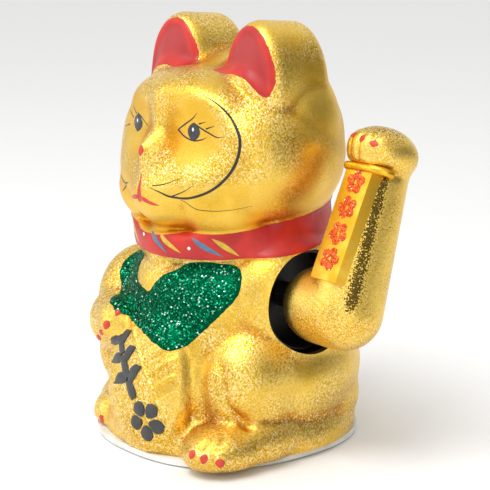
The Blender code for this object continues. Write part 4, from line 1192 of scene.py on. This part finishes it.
# the coin's ornament: a bamboo sprig over a five-petalled blossom
sprig = (
    (((0, 33), (0.4, 20)), (2.0, 2.7, 2.9, 2.2)),
    (((0.4, 18), (0.3, 4)), (2.4, 3.0, 3.1, 2.4)),
    (((0.2, 2), (0, -9)), (2.5, 3.2, 3.3, 2.5)),
    (((0, 29), (-5.5, 33), (-11.0, 34.0)), (1.6, 3.2, 2.9, 0.4)),
    (((0.5, 27), (5.5, 30.0), (10.5, 30.0)), (1.6, 3.2, 2.9, 0.4)),
    (((0, 17), (-6.5, 21.0), (-13, 21.5)), (1.6, 3.5, 3.1, 0.4)),
    (((0.5, 14.5), (7.0, 18.0), (13, 17.5)), (1.6, 3.5, 3.1, 0.4)),
    (((0, 3.5), (-7.0, 8.0), (-14, 8.0)), (1.6, 3.7, 3.2, 0.4)),
    (((0.5, 1.0), (7.5, 5.0), (13.5, 4.5)), (1.6, 3.7, 3.2, 0.4)),
)
blossom = {"across": 0.5, "along": -23.5, "ways": (3.0, 7.3, 11.6), "petal": (1.3, 3.5, 4.6, 4.4, 2.2)}


def coinSpot(across, along):
    lean = math.radians(coin["lean"])
    across, along = across + coin["middle"][0], along + coin["middle"][1]
    u = across * math.cos(lean) - along * math.sin(lean)
    v = along * math.cos(lean) + across * math.sin(lean)
    rise = coin["deep"] * math.sqrt(max(0.05, 1 - (u / coin["across"]) ** 2 - (v / coin["tall"]) ** 2))
    centre, turn = coinPlace()
    return tuple(centre + turn @ Vector((u, -rise, v)))


def ornamentStrokes():
    strokes = [([coinSpot(*spot) for spot in path], widths) for path, widths in sprig]
    for petal in range(5):
        angle = math.radians(90 + 72 * petal)
        path = []
        for way in blossom["ways"]:
            across, along = way * math.cos(angle), way * math.sin(angle)
            path.append(coinSpot(blossom["across"] + across, blossom["along"] + along))
        strokes.append((path, blossom["petal"]))
    return strokes


strokePiece("coinOrnament", skin, ornamentStrokes(), 0.95, reliefBlack, "figure")
print("paint done")


# claws and blossoms on the arm
def armSpot(x, z):
    return tuple(elbow + armTurn @ Vector((x, -22.0, z)))


armSkin = surfaceTree(armShell)
upward = armTurn @ Vector((0, 0, 1))
armClaws = [spotStroke(armSpot(x, z), 2.3, 3.3, upward) for x, z in armToes["claws"]]
strokePiece("armClaws", armSkin, armClaws, 0.45, redPaint, "arm")

tabletBlossoms = {
    "along": (69.5, 54.5, 39.5, 24.5),
    "across": 0.3,
    "ways": (1.3, 3.6, 6.7),
    "petal": (0.8, 2.3, 2.9, 2.8, 1.4),
}
tabletSkin = surfaceTree(tabletPiece)


def tabletStrokes():
    strokes = []
    for index, along in enumerate(tabletBlossoms["along"]):
        for petal in range(5):
            angle = math.radians(90 + 72 * petal + 18 * index)
            path = []
            for way in tabletBlossoms["ways"]:
                x = tabletBlossoms["across"] + way * math.cos(angle)
                z = along + way * math.sin(angle)
                path.append(tuple(tabletSpot(x, tablet["front"], z)))
            strokes.append((path, tabletBlossoms["petal"]))
    return strokes


redGlue = makePaint("redGlue", (0.66, 0.07, 0.015), (0.80, 0.16, 0.02), 0.4, 0.8, 0.12)
flowers = tabletStrokes()
tabletFlowers = strokePiece("tabletBlossoms", tabletSkin, flowers, 0.5, redGlue, "arm", 4)


# glitter: flat six-sided flakes scattered over a surface by geometry nodes
def flakeTree():
    tree = bpy.data.node_groups.new("scatterFlakes", "GeometryNodeTree")
    face = tree.interface
    face.new_socket("Geometry", in_out="INPUT", socket_type="NodeSocketGeometry")
    sockets = {}
    for name, kind, value in (
        ("Flakes per square metre", "NodeSocketFloat", 1e6),
        ("Flake radius", "NodeSocketFloat", 0.0005),
        ("Flake thickness", "NodeSocketFloat", 0.0001),
        ("Tilt", "NodeSocketFloat", 0.4),
        ("Seed", "NodeSocketInt", 1),
        ("Finish", "NodeSocketMaterial", None),
    ):
        made = face.new_socket(name, in_out="INPUT", socket_type=kind)
        if value is not None:
            made.default_value = value
        sockets[name] = made.identifier
    face.new_socket("Geometry", in_out="OUTPUT", socket_type="NodeSocketGeometry")
    nodes = {}
    for name, kind, settings in (
        ("start", "NodeGroupInput", {}),
        ("scatter", "GeometryNodeDistributePointsOnFaces", {}),
        ("flake", "GeometryNodeMeshCone", {}),
        ("opposite", "ShaderNodeMath", {"operation": "MULTIPLY"}),
        ("spread", "FunctionNodeRandomValue", {"data_type": "FLOAT_VECTOR"}),
        ("turn", "FunctionNodeEulerToRotation", {}),
        ("both", "FunctionNodeRotateRotation", {"rotation_space": "LOCAL"}),
        ("size", "FunctionNodeRandomValue", {"data_type": "FLOAT"}),
        ("tone", "FunctionNodeRandomValue", {"data_type": "FLOAT"}),
        ("copies", "GeometryNodeInstanceOnPoints", {}),
        ("store", "GeometryNodeStoreNamedAttribute", {"data_type": "FLOAT", "domain": "INSTANCE"}),
        ("real", "GeometryNodeRealizeInstances", {}),
        ("finish", "GeometryNodeSetMaterial", {}),
        ("end", "NodeGroupOutput", {}),
    ):
        nodes[name] = tree.nodes.new(kind)
        for key, value in settings.items():
            setattr(nodes[name], key, value)
    for name, socket, value in (
        ("flake", "Vertices", 6),
        ("flake", "Side Segments", 1),
        ("opposite", 1, -1.0),
        ("size", 2, 0.7),
        ("size", 3, 1.15),
        ("store", "Name", "tone"),
    ):
        nodes[name].inputs[socket].default_value = value
    for source, output, target, socket in (
        ("start", "Geometry", "scatter", "Mesh"),
        ("start", "Flakes per square metre", "scatter", "Density"),
        ("start", "Seed", "scatter", "Seed"),
        ("start", "Flake radius", "flake", "Radius Top"),
        ("start", "Flake radius", "flake", "Radius Bottom"),
        ("start", "Flake thickness", "flake", "Depth"),
        ("start", "Tilt", "opposite", 0),
        ("opposite", 0, "spread", 0),
        ("start", "Tilt", "spread", 1),
        ("start", "Seed", "spread", "Seed"),
        ("spread", 0, "turn", 0),
        ("scatter", "Rotation", "both", 0),
        ("turn", 0, "both", 1),
        ("scatter", "Points", "copies", "Points"),
        ("flake", "Mesh", "copies", "Instance"),
        ("both", 0, "copies", "Rotation"),
        ("size", 1, "copies", "Scale"),
        ("copies", 0, "store", "Geometry"),
        ("tone", 1, "store", "Value"),
        ("store", 0, "real", 0),
        ("real", 0, "finish", "Geometry"),
        ("start", "Finish", "finish", "Material"),
        ("finish", 0, "end", 0),
    ):
        tree.links.new(nodes[source].outputs[output], nodes[target].inputs[socket])
    return tree, sockets


flakes, flakeInputs = flakeTree()


def patchOf(made, chosen, name):
    # a copy of the chosen faces, that the flakes are scattered over
    grid = bmesh.new()
    grid.from_mesh(made.data)
    bmesh.ops.delete(grid, geom=[face for face in grid.faces if not chosen(face)], context="FACES")
    mesh = bpy.data.meshes.new(name)
    for layer in list(grid.verts.layers.float.keys()):
        grid.verts.layers.float.remove(grid.verts.layers.float[layer])
    grid.to_mesh(mesh)
    grid.free()
    return addObject(name, mesh)


def makeGlitter(name, patch, sizes, finish, body):
    scatter = patch.modifiers.new("flakes", "NODES")
    scatter.node_group = flakes
    for key, value in {**sizes, "Finish": finish}.items():
        scatter[flakeInputs[key]] = value
    patch.name = name
    evaluated(patch)
    patch.data.materials.clear()
    patch.data.materials.append(finish)
    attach(patch, body)
    return patch


def flakeFinish(name, *stops):
    paint = Paint(name, stops[0][1], 0.24, 1.0)
    tone = paint.attribute("tone")
    paint.set("Base Color", paint.ramp(tone, *stops))
    paint.set("Roughness", 0.18 + 0.25 * tone)
    return paint.material


heartDepth = np.empty(len(catBody.data.vertices), np.float32)
catBody.data.attributes["heartGreen"].data.foreach_get("value", heartDepth)
bodyPlaces = points(catBody.data)


def onHeart(face):
    # the outer skin only: the inner wall lies nearer the middle
    corners = [corner.index for corner in face.verts]
    x, y, z = bodyPlaces[corners[0]]
    outward = face.normal.x * x + face.normal.y * (y - 5) > 0
    return outward and all(heartDepth[corner] > 0.3 for corner in corners)


greenFinish = flakeFinish(
    "greenGlitter",
    (0.0, (0.0, 0.020, 0.008)),
    (0.30, (0.0, 0.075, 0.030)),
    (0.70, (0.0, 0.200, 0.085)),
    (0.94, (0.02, 0.42, 0.20)),
    (1.0, (0.75, 0.95, 0.88)),
)
heartFlakes = {
    "Flakes per square metre": 1.15e6,
    "Flake radius": 0.00050,
    "Flake thickness": 0.00012,
    "Tilt": 0.45,
    "Seed": 7,
}
heartSkin = patchOf(catBody, onHeart, "heart")
heartGlitter = makeGlitter("heartGlitter", heartSkin, heartFlakes, greenFinish, "figure")
redFinish = flakeFinish(
    "redGlitter",
    (0.0, (0.30, 0.01, 0.005)),
    (0.5, (0.75, 0.08, 0.01)),
    (0.9, (0.90, 0.25, 0.03)),
    (1.0, (1.0, 0.80, 0.45)),
)
blossomFlakes = {
    "Flakes per square metre": 1.3e6,
    "Flake radius": 0.00042,
    "Flake thickness": 0.0001,
    "Tilt": 0.5,
    "Seed": 11,
}
front = tabletTurn @ Vector((0, -1, 0))
petals = patchOf(tabletFlowers, lambda face: face.normal.dot(front) > 0.35, "petals")
makeGlitter("blossomGlitter", petals, blossomFlakes, redFinish, "arm")
print("glitter done", len(heartGlitter.data.polygons))


# finishes of the pieces that keep their frame meshes
def makePlastic(name, colour, rough, grain=0.6, depth=0.02, metallic=0.0):
    paint = Paint(name, colour, rough, metallic)
    darker = tuple(0.82 * part for part in colour)
    paint.set("Base Color", paint.mix(paint.noise(9.0, 3.0).step(0.35, 0.75), colour, darker))
    paint.set("Roughness", rough + 0.14 * (paint.noise(3.0, 2.0) - 0.5))
    paint.bump(paint.noise(grain, 2.0), depth)
    return paint.material


def makeBrushed(name, colour, rough, stretch):
    # lathe and roll marks drawn out along one direction
    paint = Paint(name, colour, rough, 1.0)
    along = paint.node("ShaderNodeMapping", {}, Vector=paint.place(), Scale=stretch)
    lines = paint.noise(0.5, 3.0, at=along)
    paint.set("Base Color", paint.mix(lines.step(0.3, 0.7), colour, tuple(0.75 * part for part in colour)))
    paint.set("Roughness", rough + 0.15 * (lines - 0.5))
    paint.bump(lines, 0.01)
    return paint.material


def makeSleeve():
    paint = Paint("cellSleeve", (0.05, 0.10, 0.35), 0.3)
    across = paint.node("ShaderNodeSeparateXYZ", {}, paint.place(), out="X")
    band = across.math("ABSOLUTE").step(0.0150, 0.0153)
    wear = paint.noise(2.0, 3.0)
    blue = paint.mix(wear.step(0.4, 0.8), (0.04, 0.09, 0.34), (0.06, 0.12, 0.40))
    paint.set("Base Color", paint.mix(band, blue, (0.70, 0.70, 0.72)))
    paint.set("Roughness", 0.28 + 0.15 * wear)
    return paint.material


frameFinishes = {
    "socket_cup": makePlastic("cupBlack", (0.004, 0.004, 0.004), 0.42, 0.8),
    "base_plate": makePlastic("plateWhite", (0.80, 0.80, 0.76), 0.45, 0.8),
    "battery_door": makePlastic("doorWhite", (0.78, 0.78, 0.74), 0.45, 0.8),
    "battery_box": makePlastic("boxWhite", (0.80, 0.80, 0.77), 0.5, 0.9),
    "movement_frame": makePlastic("frameWhite", (0.82, 0.82, 0.79), 0.45, 0.7),
    "arm_hub": makePlastic("hubBlack", (0.012, 0.012, 0.012), 0.4),
    "swing_lever": makePlastic("leverGrey", (0.30, 0.30, 0.32), 0.5),
    "circuit_board": makePlastic("boardGreen", (0.02, 0.20, 0.08), 0.4, 0.4, 0.03),
    "capacitor": makePlastic("capacitorBlack", (0.02, 0.02, 0.03), 0.3),
    "drive_coil": makeBrushed("copperWire", (0.72, 0.33, 0.16), 0.32, (0.1, 0.1, 6.0)),
    "wire_coil": makePlastic("copperLead", (0.72, 0.33, 0.16), 0.32, metallic=1.0),
    "pendulum_magnet": makeBrushed("magnetNickel", (0.66, 0.65, 0.62), 0.22, (1.0, 1.0, 0.1)),
    "counterweight": makeBrushed("weightSteel", (0.50, 0.50, 0.52), 0.4, (0.2, 1.0, 1.0)),
}
steelFinish = makeBrushed("platedSteel", (0.62, 0.62, 0.64), 0.3, (0.15, 1.0, 1.0))
brassFinish = makeBrushed("turnedBrass", (0.75, 0.55, 0.25), 0.28, (1.0, 0.2, 0.2))
rubberFinish = makePlastic("padRubber", (0.03, 0.03, 0.03), 0.85, 0.5, 0.05)
blackFinish = makePlastic("mouldedBlack", (0.015, 0.015, 0.016), 0.5)
cellFinish = makeSleeve()
startsWith = (
    ("battery_1", cellFinish),
    ("battery_2", cellFinish),
    ("pad_", rubberFinish),
    ("bearing_", brassFinish),
    ("contact_", steelFinish),
    ("frame_screw", steelFinish),
    ("board_screw", steelFinish),
    ("arm_axle", steelFinish),
    ("axle_clip", steelFinish),
    ("wire_battery_red", makePlastic("sleeveRed", (0.55, 0.03, 0.03), 0.45)),
    ("wire_switch", makePlastic("sleeveRedToo", (0.55, 0.03, 0.03), 0.45)),
    ("wire_battery_black", makePlastic("sleeveBlack", (0.02, 0.02, 0.02), 0.45)),
)
replaced = ("body_shell", "arm_shell", "arm_plaque")
for name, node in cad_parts.items():
    if name in replaced:
        continue
    shared = next((made for start, made in startsWith if name.startswith(start)), blackFinish)
    finish = frameFinishes.get(name, shared)
    if not node.material_slots:
        node.data.materials.append(finish)
    for slot in node.material_slots:
        slot.material = finish
print("finishes done")
